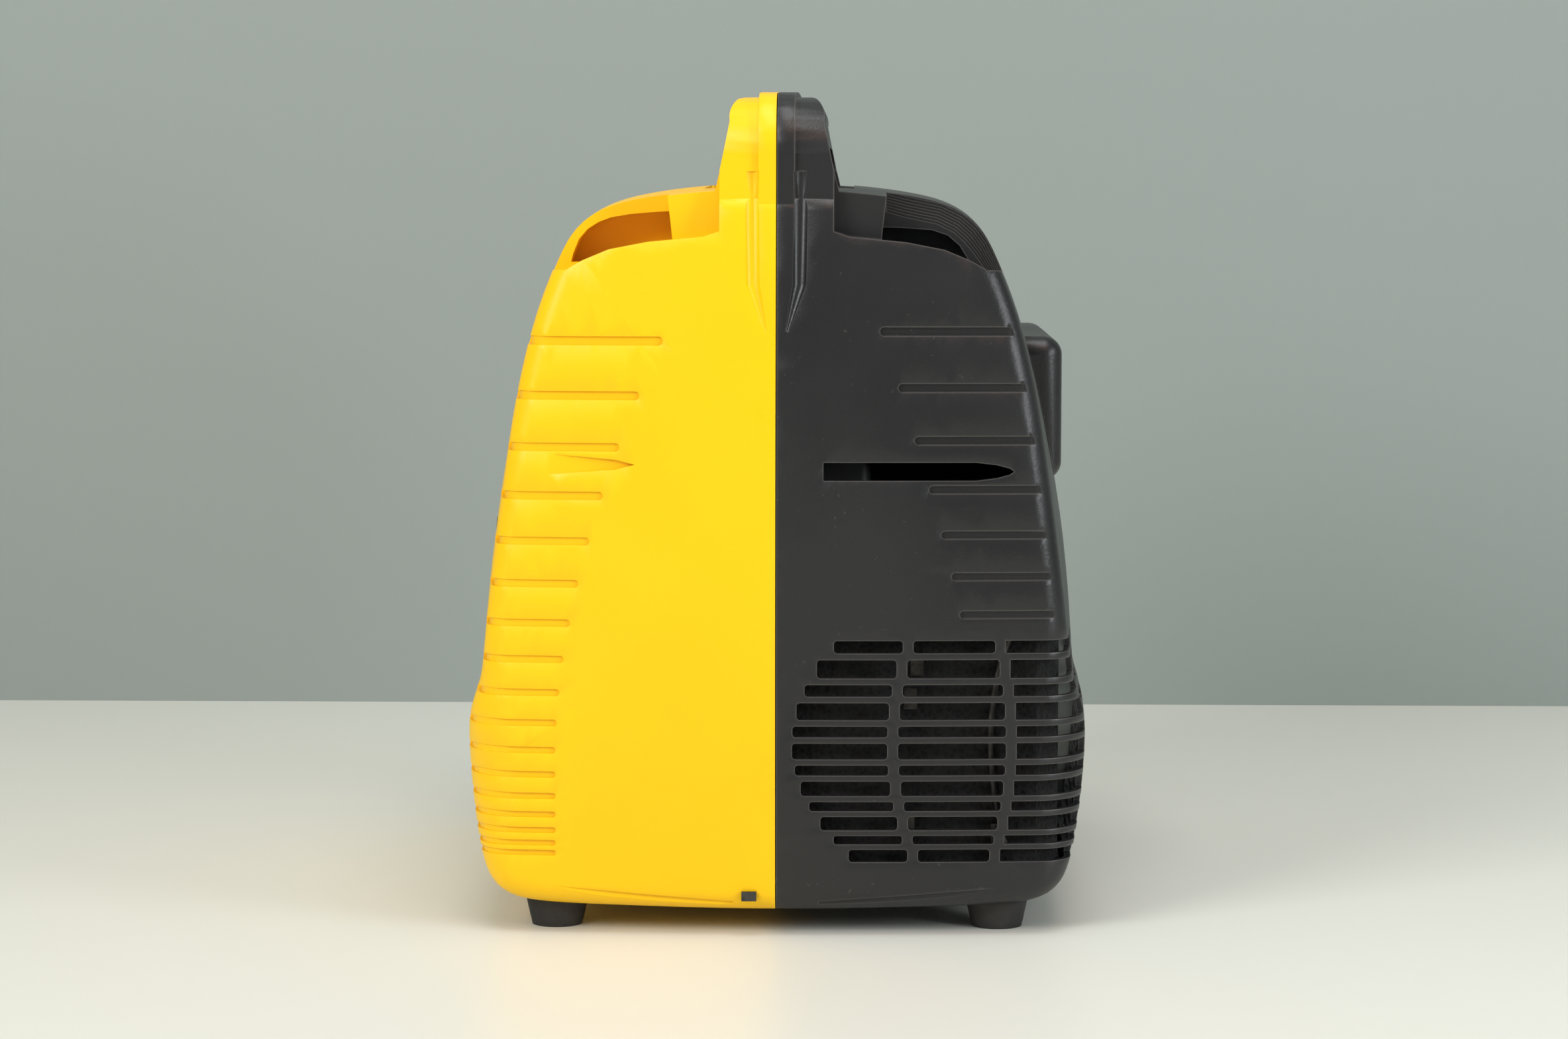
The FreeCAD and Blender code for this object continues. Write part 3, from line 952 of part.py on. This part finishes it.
def build_all():
    outer, inner, left, right, cover = build_casing()
    parts = {"casing_left": left, "casing_right": right, "service_cover": cover}
    parts["control_hood"] = build_hood(outer)
    parts["control_panel"] = build_panel()
    parts.update(build_fittings(outer, inner))
    parts["feet"] = Part.Compound([foot(x, y, outer) for x in (-FOOT_X, FOOT_X) for y in (-FOOT_Y, FOOT_Y)])
    ring = slot_zone(-175.0, -110.0, COVER_Y0 - 7.0, COVER_Y1 + 7.0, COVER_Z0 - 7.0, COVER_Z1 + 7.0, 14.0).cut(
        slot_zone(-180.0, -100.0, COVER_Y0 + 6.0, COVER_Y1 - 6.0, COVER_Z0 + 6.0, COVER_Z1 - 6.0, 6.0))
    boss = box(-150.0, -110.0, KNOB_Y - 9.0, KNOB_Y + 9.0, KNOB_Z - 9.0, COVER_Z1 + 2.0)
    deeper = casing_form(WALL + 2.4, RIM_ROUND - WALL - 2.4)
    rebate = slot_zone(-175.0, -110.0, COVER_Y0, COVER_Y1, COVER_Z0, COVER_Z1, 12.0).cut(
        casing_form(WALL + 0.4, RIM_ROUND - WALL - 0.4))
    parts["cover_frame"] = ring.fuse(boss).common(inner).cut(deeper).cut(rebate).cut(
        cyl(3.6, (-175.0, KNOB_Y, KNOB_Z), (-110.0, KNOB_Y, KNOB_Z)))
    return parts


def build_fittings(outer, inner):
    p = {}
    p["ac_sockets"] = Part.Compound([ac_socket(*AC_A), ac_socket(*AC_B)])
    p["ac_lid_a"] = ac_lid(*AC_A)
    p["ac_lid_b"] = ac_lid(*AC_B)
    p["dc_socket"] = dc_socket()
    p["usb_socket"] = usb_socket()
    p["breaker_body"], p["breaker_button"] = breaker_parts()
    p["mode_switch"], p["mode_knob"] = mode_parts()
    p["eco_frame"], p["eco_rocker"] = eco_parts()
    p["lamps"] = Part.Compound([lamp(i) for i in range(3)])
    p["starter_grip"] = starter_grip()
    p["starter_guide"] = starter_guide()
    p["filler_cap"], p["vent_knob"], p["filler_neck"] = filler_parts()
    y, z = KNOB_Y, KNOB_Z
    knob = cyl(10.5, (-145.7, y, z), (-140.8, y, z))
    knob = knob.makeFillet(1.0, [e for e in knob.Edges if e.BoundBox.XMax < -145.2])
    knob = knob.multiFuse([cyl(5.0, (-141.5, y, z), (-139.2, y, z)), cyl(3.2, (-140.0, y, z), (-131.0, y, z))])
    p["cover_knob"] = knob.cut(box(-147.0, -144.0, y - 1.3, y + 1.3, z - 14.0, z + 14.0))
    p.update(build_inside(outer, inner))
    return p


def main():
    for name, shape in build_all().items():
        shape.exportStep("parts/%s.step" % name)


if __name__ == "__main__":
    main()
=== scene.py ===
# %% [markdown]
# A portable inverter generator in a clamshell casing. A yellow half and a satin black half meet
# on an upright seam and carry one handle between them. The engineering model holds the exact
# shapes and the moving parts. This file softens their edges, adds a few small visible pieces,
# and gives every surface its finish, its light and its camera.

# %% Load the engineering model
import json
import math

import bmesh
import bpy
from mathutils import Matrix, Vector


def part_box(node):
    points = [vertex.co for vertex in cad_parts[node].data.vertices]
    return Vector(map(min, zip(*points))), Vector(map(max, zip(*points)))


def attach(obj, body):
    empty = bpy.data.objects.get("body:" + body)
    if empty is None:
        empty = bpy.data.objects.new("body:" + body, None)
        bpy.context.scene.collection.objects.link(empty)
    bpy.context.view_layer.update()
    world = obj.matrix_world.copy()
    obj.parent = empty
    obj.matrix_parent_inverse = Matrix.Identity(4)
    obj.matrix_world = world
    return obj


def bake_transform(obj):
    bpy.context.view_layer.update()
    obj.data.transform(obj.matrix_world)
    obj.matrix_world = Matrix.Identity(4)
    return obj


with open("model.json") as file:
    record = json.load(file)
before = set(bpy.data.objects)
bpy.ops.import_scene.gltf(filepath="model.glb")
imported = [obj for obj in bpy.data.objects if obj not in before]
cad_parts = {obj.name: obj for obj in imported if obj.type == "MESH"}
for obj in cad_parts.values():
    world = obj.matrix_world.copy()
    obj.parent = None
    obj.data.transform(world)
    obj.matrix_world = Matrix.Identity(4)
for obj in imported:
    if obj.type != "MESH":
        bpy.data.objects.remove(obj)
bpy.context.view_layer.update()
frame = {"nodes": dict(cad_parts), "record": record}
NODES = frame["nodes"]
SLOT_OF = {part["node"]: part["material_slot"] for part in frame["record"]["subparts"]}

# %% [markdown]
# The camera stands low in front of the end face, a little above the roof line and slightly to the
# right, so the crowned end fills the view and the black flank just shows. A long lens keeps the
# upright edges nearly parallel, as in a catalogue picture.

# %% Camera
camera_data = bpy.data.cameras.new("camera")
camera = bpy.data.objects.new("camera", camera_data)
bpy.context.scene.collection.objects.link(camera)
bpy.context.scene.camera = camera
camera_data.sensor_width = 36.0
camera_data.lens = 89.67
camera.location = (0.034, -1.983, 0.360)
PITCH, YAW, ROLL = math.radians(5.166), math.radians(-0.96), math.radians(0.09)
ahead = Vector((math.sin(YAW) * math.cos(PITCH), math.cos(YAW) * math.cos(PITCH), -math.sin(PITCH)))
camera.rotation_euler = (ahead.to_track_quat("-Z", "Y").to_matrix() @ Matrix.Rotation(ROLL, 3, "Z")).to_euler()
print("camera at", tuple(round(v, 3) for v in camera.location))

# %% [markdown]
# Finishes are shader maths. Writing it node by node is slow to read, so one small class wraps a
# socket and lets Python's own operators add the Math nodes. A second class holds one material and
# makes any other node from its type, its settings and its sockets.


# %% Shader maths as Python expressions
class Wave:
    """A number, colour or vector that changes over a surface."""

    def __init__(self, finish, socket):
        self.finish, self.socket = finish, socket

    def maths(self, operation, *values):
        inputs = {i: v for i, v in enumerate(values)}
        return self.finish.node("ShaderNodeMath", {"operation": operation}, inputs)

    def __add__(self, other):
        return self.maths("ADD", self, other)

    def __radd__(self, other):
        return self.maths("ADD", other, self)

    def __sub__(self, other):
        return self.maths("SUBTRACT", self, other)

    def __rsub__(self, other):
        return self.maths("SUBTRACT", other, self)

    def __mul__(self, other):
        return self.maths("MULTIPLY", self, other)

    def __rmul__(self, other):
        return self.maths("MULTIPLY", other, self)

    def __truediv__(self, other):
        return self.maths("DIVIDE", self, other)

    def __pow__(self, other):
        return self.maths("POWER", self, other)

    def __lt__(self, other):
        return self.maths("LESS_THAN", self, other)

    def __gt__(self, other):
        return self.maths("GREATER_THAN", self, other)

    def __abs__(self):
        return self.maths("ABSOLUTE", self)


class Finish:
    """One material: its shader and the nodes that feed it."""

    def __init__(self, name):
        self.material = bpy.data.materials.new(name)
        self.material.use_nodes = True
        self.tree = self.material.node_tree
        self.shader = self.tree.nodes["Principled BSDF"]

    def node(self, kind, settings=None, inputs=None, output=0):
        n = self.tree.nodes.new(kind)
        for key, value in (settings or {}).items():
            if key == "stops":
                while len(n.color_ramp.elements) < len(value):
                    n.color_ramp.elements.new(0.5)
                for element, (place, colour) in zip(n.color_ramp.elements, value):
                    element.position, element.color = place, (*colour, 1.0)
            else:
                setattr(n, key, value)
        for key, value in (inputs or {}).items():
            self.plug(n.inputs[key], value)
        return Wave(self, n.outputs[output])

    def plug(self, socket, value):
        if isinstance(value, Wave):
            self.tree.links.new(value.socket, socket)
        elif hasattr(value, "__len__") and len(value) == 3 and socket.type == "RGBA":
            socket.default_value = (*value, 1.0)
        else:
            socket.default_value = value

    def set(self, **values):
        for key, value in values.items():
            self.plug(self.shader.inputs[key.replace("_", " ")], value)


print("shader maths is ready")

# %% [markdown]
# Most finishes share three ingredients: the place on the piece in metres, a noise of a stated
# grain size, and a bump made from a height. A noise of scale 1000 has features of about one
# millimetre, because the object coordinates are metres.


# %% Shared ingredients
def place(f):
    return f.node("ShaderNodeTexCoord", None, None, "Object")


def noise(f, scale, detail=2.0, rough=0.5, stretch=None):
    at = place(f)
    if stretch:
        at = f.node("ShaderNodeMapping", None, {"Vector": at, "Scale": stretch})
    return f.node("ShaderNodeTexNoise", None, {"Vector": at, "Scale": scale, "Detail": detail, "Roughness": rough})


def cells(f, scale):
    return f.node("ShaderNodeTexVoronoi", None, {"Vector": place(f), "Scale": scale})


def blend_colours(f, share, a, b):
    return f.node("ShaderNodeMix", {"data_type": "RGBA"}, {0: share, 6: a, 7: b}, 2)


def soft_step(f, value, low, high):
    return f.node("ShaderNodeMapRange", {"interpolation_type": "SMOOTHSTEP"},
                  {"Value": value, "From Min": low, "From Max": high})


def bump(f, height, depth, strength=1.0):
    return f.node("ShaderNodeBump", None, {"Height": height, "Distance": depth, "Strength": strength})


FINISHES = {}
print("ingredients are ready")

# %% [markdown]
# The casing is injection-moulded plastic. The yellow half is smooth with a soft gloss and a faint
# flow mottle from the mould. The black half is satin with a fine leather-like grain, slightly
# uneven in sheen, and it picks up a little pale dust. Both are made of two noises, a broad one
# for tone and sheen and a fine one for the grain. The black half's edges carry a painted highlight,
# and the Bevel node finds them: where its rounded normal leans away from the true one, there is
# an edge, and the plastic is painted paler there.


# %% Moulded casing plastics
def moulded(name, colour, tone, rough, rough_swing, grain, grain_depth, coat=0.0, dust=0.0, shine=0.5, painted_edge_highlight=0.0):
    f = Finish(name)
    broad = noise(f, 9.0, 3.0)
    fine = noise(f, grain, 3.0, 0.6)
    skin = blend_colours(f, soft_step(f, broad, 0.3, 0.7), colour, tuple(min(1.0, c * tone) for c in colour))
    if dust:
        specks = soft_step(f, noise(f, 420.0, 1.0), 0.735, 0.78) * soft_step(f, noise(f, 14.0, 2.0), 0.42, 0.62)
        skin = blend_colours(f, specks * dust, skin, (0.30, 0.29, 0.27))
    if painted_edge_highlight:
        # Edges are painted paler here: a painted highlight along every edge the Bevel node finds.
        rounded = f.node("ShaderNodeBevel", {"samples": 6}, {"Radius": 0.0011})
        true = f.node("ShaderNodeNewGeometry", None, {}, 1)
        lean = f.node("ShaderNodeVectorMath", {"operation": "DOT_PRODUCT"}, {0: rounded, 1: true}, 1)
        skin = blend_colours(f, soft_step(f, 1.0 - lean, 0.015, 0.16) * painted_edge_highlight, skin, (0.20, 0.19, 0.175))
    f.set(Base_Color=skin, Roughness=soft_step(f, broad, 0.25, 0.75) * rough_swing + rough + (fine - 0.5) * 0.06,
          Normal=bump(f, fine + noise(f, 26.0, 1.0) * 0.6, grain_depth))
    f.shader.inputs["Coat Weight"].default_value = coat
    f.shader.inputs["Coat Roughness"].default_value = 0.22
    f.shader.inputs["Specular IOR Level"].default_value = shine
    return f.material


FINISHES["yellow_casing"] = moulded("yellow_casing", (0.90, 0.53, 0.0015), 1.05, 0.36, 0.07, 700.0, 0.00004, 0.0, 0.0, 0.28)
# The black half's last number sets the strength of its painted edge highlight.
FINISHES["black_casing"] = moulded("black_casing", (0.0098, 0.0100, 0.0104), 1.25, 0.33, 0.12, 850.0, 0.00010, 0.0, 0.07, 0.45, 0.40)
FINISHES["black_trim"] = moulded("black_trim", (0.022, 0.022, 0.023), 1.2, 0.42, 0.1, 1100.0, 0.00007)
FINISHES["tank_plastic"] = moulded("tank_plastic", (0.06, 0.06, 0.065), 1.15, 0.5, 0.12, 260.0, 0.00012)
FINISHES["white_plastic"] = moulded("white_plastic", (0.72, 0.72, 0.68), 0.94, 0.36, 0.06, 900.0, 0.00003, 0.1)
FINISHES["red_plastic"] = moulded("red_plastic", (0.55, 0.02, 0.012), 1.1, 0.3, 0.06, 900.0, 0.00003, 0.2)
print("moulded plastics:", sorted(FINISHES))

# %% [markdown]
# The control panel is a printed grey sheet. A thin white ring is printed round each round outlet
# and a short fan of ticks round the mode knob. A ring is where the distance from a centre is close
# to a radius, so it needs no picture. There is no lettering.

# %% Printed control panel
f = Finish("grey_panel")
at = place(f)
PRINT_CENTRES = [((-0.054, 0.238), 0.0206), ((-0.011, 0.238), 0.0206), ((0.026, 0.2505), 0.0135)]


def ring(f, at, centre, radius, width=0.00035):
    flat = f.node("ShaderNodeVectorMath", {"operation": "MULTIPLY"}, {0: at, 1: (0.0, 1.0, 1.0)})
    away = f.node("ShaderNodeVectorMath", {"operation": "DISTANCE"}, {0: flat, 1: (0.0, *centre)}, 1)
    return abs(away - radius) < width


ink = ring(f, at, *PRINT_CENTRES[0])
for centre, radius in PRINT_CENTRES[1:]:
    ink = ink + ring(f, at, centre, radius)
parts = f.node("ShaderNodeSeparateXYZ", None, {0: at}, 1), f.node("ShaderNodeSeparateXYZ", None, {0: at}, 2)
turn = f.node("ShaderNodeMath", {"operation": "ARCTAN2"}, {0: parts[1] - 0.249, 1: parts[0] - 0.064})
ticks = (abs(f.node("ShaderNodeMath", {"operation": "SINE"}, {0: turn * 6.0})) < 0.12) * ring(f, at, (0.064, 0.249), 0.0128, 0.0009)
border = (abs(parts[0]) > 0.0765) * (abs(parts[0]) < 0.0769)
ink = f.node("ShaderNodeMath", {"operation": "MINIMUM"}, {0: ink + ticks + border, 1: 1.0})
sheet_grain = noise(f, 1300.0, 2.0)
f.set(Base_Color=blend_colours(f, ink, blend_colours(f, sheet_grain, (0.105, 0.11, 0.118), (0.135, 0.14, 0.148)), (0.75, 0.75, 0.73)),
      Roughness=sheet_grain * 0.15 + 0.42, Normal=bump(f, sheet_grain, 0.00005))
FINISHES["grey_panel"] = f.material
print("printed rings:", len(PRINT_CENTRES))

# %% [markdown]
# The lamps are small tinted lenses. A strong coat gives the wet highlight of clear plastic.

# %% Lamp lens
f = Finish("lamp_lens")
f.set(Base_Color=blend_colours(f, soft_step(f, noise(f, 300.0), 0.3, 0.7), (0.10, 0.42, 0.12), (0.16, 0.58, 0.16)), Roughness=0.12)
f.shader.inputs["Coat Weight"].default_value = 0.8
FINISHES["lamp_lens"] = f.material

# %% [markdown]
# Rubber is dull and even, with dust in its pores. The intake foam behind the louvres is black and
# open-celled: each Voronoi cell is a pore, so the distance to the cell's middle makes the bump and
# a painted shade, darker towards the pore's hollow middle.

# %% Rubber and foam
f = Finish("dark_rubber")
pores = noise(f, 600.0, 4.0, 0.65)
grime = soft_step(f, noise(f, 34.0, 3.0), 0.45, 0.75)
f.set(Base_Color=blend_colours(f, grime * 0.6, (0.018, 0.017, 0.016), (0.055, 0.047, 0.038)), Roughness=pores * 0.2 + 0.62,
      Normal=bump(f, pores, 0.00015))
FINISHES["dark_rubber"] = f.material

for foam_name, dark, light in (("foam", (0.002, 0.002, 0.002), (0.009, 0.009, 0.009)),
                               ("filter_foam", (0.10, 0.075, 0.03), (0.34, 0.27, 0.13))):
    f = Finish(foam_name)
    pore = cells(f, 420.0)
    # Each pore is painted darker towards its middle: painted shade in the hollow.
    f.set(Base_Color=blend_colours(f, soft_step(f, pore, 0.1, 0.7), dark, light), Roughness=0.95,
          Normal=bump(f, pore, 0.0009))
    FINISHES[foam_name] = f.material
print("rubber and foam are ready")

# %% [markdown]
# Metals differ in how they were made. Castings are pebbled and grey, turned steel has fine lines,
# exhaust parts are tinted straw to blue by heat, and painted steel shows a shallow orange peel.


# %% Metals
def metal(name, dark, light, rough, grain, depth, stretch=None, share=1.0):
    f = Finish(name)
    fine = noise(f, grain, 4.0, 0.6, stretch)
    broad = noise(f, 22.0, 3.0)
    f.set(Base_Color=blend_colours(f, soft_step(f, broad * 0.6 + fine * 0.4, 0.35, 0.65), dark, light),
          Roughness=fine * 0.22 + rough, Normal=bump(f, fine, depth))
    f.shader.inputs["Metallic"].default_value = share
    return f.material


FINISHES["cast_aluminium"] = metal("cast_aluminium", (0.42, 0.42, 0.43), (0.62, 0.63, 0.64), 0.34, 480.0, 0.00025)
FINISHES["steel"] = metal("steel", (0.36, 0.36, 0.37), (0.55, 0.55, 0.56), 0.2, 260.0, 0.00004, (1.0, 14.0, 14.0))
FINISHES["hot_steel"] = metal("hot_steel", (0.30, 0.22, 0.15), (0.38, 0.37, 0.40), 0.3, 120.0, 0.0001)
FINISHES["painted_steel"] = metal("painted_steel", (0.020, 0.020, 0.021), (0.034, 0.034, 0.036), 0.3, 330.0, 0.00012, None, 0.0)

FINISHES["dull_steel"] = metal("dull_steel", (0.04, 0.038, 0.035), (0.11, 0.105, 0.095), 0.45, 260.0, 0.00008)

f = Finish("copper")
wires = f.node("ShaderNodeTexWave", {"wave_type": "BANDS", "bands_direction": "X"}, {"Vector": place(f), "Scale": 260.0, "Distortion": 0.6})
# The windings are painted darker in the grooves between wires and paler on their crowns: painted shade and painted
# highlight that follow the bump.
f.set(Base_Color=blend_colours(f, wires, (0.22, 0.07, 0.025), (0.62, 0.26, 0.11)), Roughness=0.3, Normal=bump(f, wires, 0.0005))
f.shader.inputs["Metallic"].default_value = 0.85
FINISHES["copper"] = f.material
print("finishes:", len(FINISHES))

# %% [markdown]
# Each node of the engineering model takes the finish of its slot in the record; the foam and seam
# clips take dull steel instead. The meshes are loose triangles, so on the nodes listed a Weld joins
# them first, and a small Bevel then rounds the sharp edges: real mouldings have no knife edges, and
# the bright line along an edge is most of what makes plastic look moulded.

# %% Dress the nodes
EDGE_ROUND = {"casing_left": 0.0007, "casing_right": 0.0008, "control_hood": 0.0006, "service_cover": 0.0005, "feet": 0.0008,
              "control_panel": 0.0003, "starter_grip": 0.0005, "filler_cap": 0.0004, "mode_knob": 0.0004, "ac_lid_a": 0.0004,
              "ac_lid_b": 0.0004, "outlet_bezel": 0.0006, "cover_knob": 0.0004, "vent_knob": 0.0003}
for name, node in NODES.items():
    node.data.materials.clear()
    node.data.materials.append(FINISHES["dull_steel" if name in ("foam_clips", "seam_clips") else SLOT_OF[name]])
    if name in EDGE_ROUND:
        weld = node.modifiers.new("weld", "WELD")
        weld.merge_threshold = 0.00002
        soft = node.modifiers.new("soft_edges", "BEVEL")
        soft.width = EDGE_ROUND[name]
        soft.segments = 2
        soft.limit_method = "ANGLE"
        soft.angle_limit = math.radians(38.0)
        soft.use_clamp_overlap = True
        soft.harden_normals = True
print("dressed", len(NODES), "nodes, softened", len(EDGE_ROUND))

# %% [markdown]
# Four pan-head screws hold the control panel. A short cone from bmesh makes the head, its rim is
# bevelled, and the driver recess is an inset of the front face, pushed inwards.


# %% Screws of the control panel
def finish_piece(name, bm, slot, body, smooth=True):
    mesh = bpy.data.meshes.new(name)
    bm.to_mesh(mesh)
    bm.free()
    if smooth:
        mesh.shade_smooth()
    mesh.materials.append(FINISHES[slot])
    piece = bpy.data.objects.new(name, mesh)
    bpy.context.scene.collection.objects.link(piece)
    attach(piece, body)
    return piece


def screw(name, spot, radius, body):
    bm = bmesh.new()
    bmesh.ops.create_cone(bm, cap_ends=True, segments=24, radius1=radius, radius2=radius * 0.82, depth=radius * 0.7)
    rim = [e for e in bm.edges if all(v.co.z > 0 for v in e.verts)]
    bmesh.ops.bevel(bm, geom=rim, offset=radius * 0.14, segments=3, profile=0.5, affect="EDGES", material=-1)
    front = max(bm.faces, key=lambda face: face.calc_center_median().z)
    bmesh.ops.inset_individual(bm, faces=[front], thickness=radius * 0.34)
    socket = max(bm.faces, key=lambda face: (round(face.calc_center_median().z, 6), -face.calc_area()))
    bmesh.ops.translate(bm, verts=socket.verts, vec=(0, 0, -radius * 0.32))
    bmesh.ops.rotate(bm, verts=bm.verts, cent=(0, 0, 0), matrix=Matrix.Rotation(math.radians(90), 3, "Y"))
    bmesh.ops.translate(bm, verts=bm.verts, vec=spot)
    return finish_piece(name, bm, "steel", body)


panel_low, panel_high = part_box("control_panel")
PANEL_SCREWS = [(panel_high[0] + 0.0008, y, z) for y in (panel_low[1] + 0.0075, panel_high[1] - 0.0075)
                for z in (panel_low[2] + 0.0060, panel_high[2] - 0.0060)]
for i, spot in enumerate(PANEL_SCREWS):
    screw("panel_screw_%d" % i, spot, 0.0026, "frame")
print("panel screws:", len(PANEL_SCREWS))

# %% [markdown]
# A short length of starter rope shows between the guide and the pull grip. It is a cylinder cut
# into rings that twist, so its strands lie along a helix.

# %% Starter rope
grip_low, grip_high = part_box("starter_grip")
guide_low, guide_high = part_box("starter_guide")
ROPE_FROM, ROPE_TO = guide_high[0] - 0.006, grip_low[0] + 0.0105
ROPE_Y, ROPE_Z = 0.5 * (grip_low[1] + grip_high[1]), 0.5 * (grip_low[2] + grip_high[2])
bm = bmesh.new()
bmesh.ops.create_cone(bm, cap_ends=True, segments=18, radius1=0.0017, radius2=0.0017, depth=ROPE_TO - ROPE_FROM)
bmesh.ops.subdivide_edges(bm, edges=[e for e in bm.edges if abs(e.verts[0].co.z - e.verts[1].co.z) > 0.001], cuts=23)
for v in bm.verts:
    angle = math.atan2(v.co.y, v.co.x)
    strand = 1.0 + 0.13 * abs(math.cos(1.5 * angle)) - 0.06
    v.co.x, v.co.y = v.co.x * strand, v.co.y * strand
for v in bm.verts:
    v.co = Matrix.Rotation(v.co.z * 520.0, 3, "Z") @ v.co
bmesh.ops.rotate(bm, verts=bm.verts, cent=(0, 0, 0), matrix=Matrix.Rotation(math.radians(90), 3, "Y"))
bmesh.ops.translate(bm, verts=bm.verts, vec=(0.5 * (ROPE_FROM + ROPE_TO), ROPE_Y, ROPE_Z))
mesh = bpy.data.meshes.new("starter_rope")
bm.to_mesh(mesh)
bm.free()
mesh.shade_smooth()
mesh.materials.append(FINISHES["white_plastic"])
rope = bpy.data.objects.new("starter_rope", mesh)
bpy.context.scene.collection.objects.link(rope)
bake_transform(rope)
print("rope from", round(ROPE_FROM, 4), "to", round(ROPE_TO, 4))

# %% [markdown]
# The set stands on a pale table in front of a plain grey wall. Table and wall are single grids,
# not attached to any body of the object.


# %% Table and wall
def stage_sheet(name, size, spot, turn, colour, rough):
    bm = bmesh.new()
    bmesh.ops.create_grid(bm, x_segments=1, y_segments=1, size=0.5)
    bmesh.ops.scale(bm, vec=(size[0], size[1], 1.0), verts=bm.verts)
    bmesh.ops.rotate(bm, cent=(0, 0, 0), matrix=turn, verts=bm.verts)
    bmesh.ops.translate(bm, vec=spot, verts=bm.verts)
    mesh = bpy.data.meshes.new(name)
    bm.to_mesh(mesh)
    bm.free()
    f = Finish(name)
    mottle = noise(f, 2.2, 3.0)
    f.set(Base_Color=blend_colours(f, mottle, tuple(c * 0.96 for c in colour), colour), Roughness=rough)
    mesh.materials.append(f.material)
    sheet = bpy.data.objects.new(name, mesh)
    bpy.context.scene.collection.objects.link(sheet)
    return sheet


stage_sheet("table_top", (9.0, 4.0), (0.0, -1.375, 0.0), Matrix.Identity(3), (0.74, 0.75, 0.68), 0.42)
stage_sheet("wall", (9.0, 4.0), (0.0, 0.625, 1.0), Matrix.Rotation(math.radians(90), 3, "X"), (0.27, 0.31, 0.29), 0.8)
print("stage is set")


# %% [markdown]
# The light is soft and mostly frontal: a large panel high on the left, a weaker one on the right,
# a broad top light, and a dim warm panel above the camera that tints the upper edges.

# %% Studio light
def area_light(name, spot, aim, size, power, colour=(1.0, 1.0, 1.0)):
    data = bpy.data.lights.new(name, "AREA")
    data.energy, data.color, data.size = power, colour, size
    lamp = bpy.data.objects.new(name, data)
    bpy.context.scene.collection.objects.link(lamp)
    lamp.location = spot
    lamp.rotation_euler = (Vector(aim) - Vector(spot)).to_track_quat("-Z", "Y").to_euler()
    return lamp


world = bpy.data.worlds.new("studio")
bpy.context.scene.world = world
world.use_nodes = True
world.node_tree.nodes["Background"].inputs["Color"].default_value = (0.93, 0.96, 1.0, 1.0)
world.node_tree.nodes["Background"].inputs["Strength"].default_value = 0.33
area_light("key", (-1.6, -1.9, 1.5), (0, 0, 0.2), 1.1, 44.0)
area_light("fill", (1.7, -0.9, 0.9), (0.1, 0, 0.2), 0.6, 9.0, (0.93, 0.97, 1.0))
area_light("top", (0.1, -0.5, 1.9), (0, 0, 0.2), 1.0, 17.0)
area_light("edge", (1.15, -1.0, 0.45), (0.12, -0.15, 0.2), 0.28, 5.0, (0.94, 0.97, 1.0))
area_light("warm", (0.35, -1.3, 1.7), (0, 0, 0.3), 0.5, 3.5, (1.0, 0.45, 0.2))
bpy.context.scene.view_settings.view_transform = "Standard"
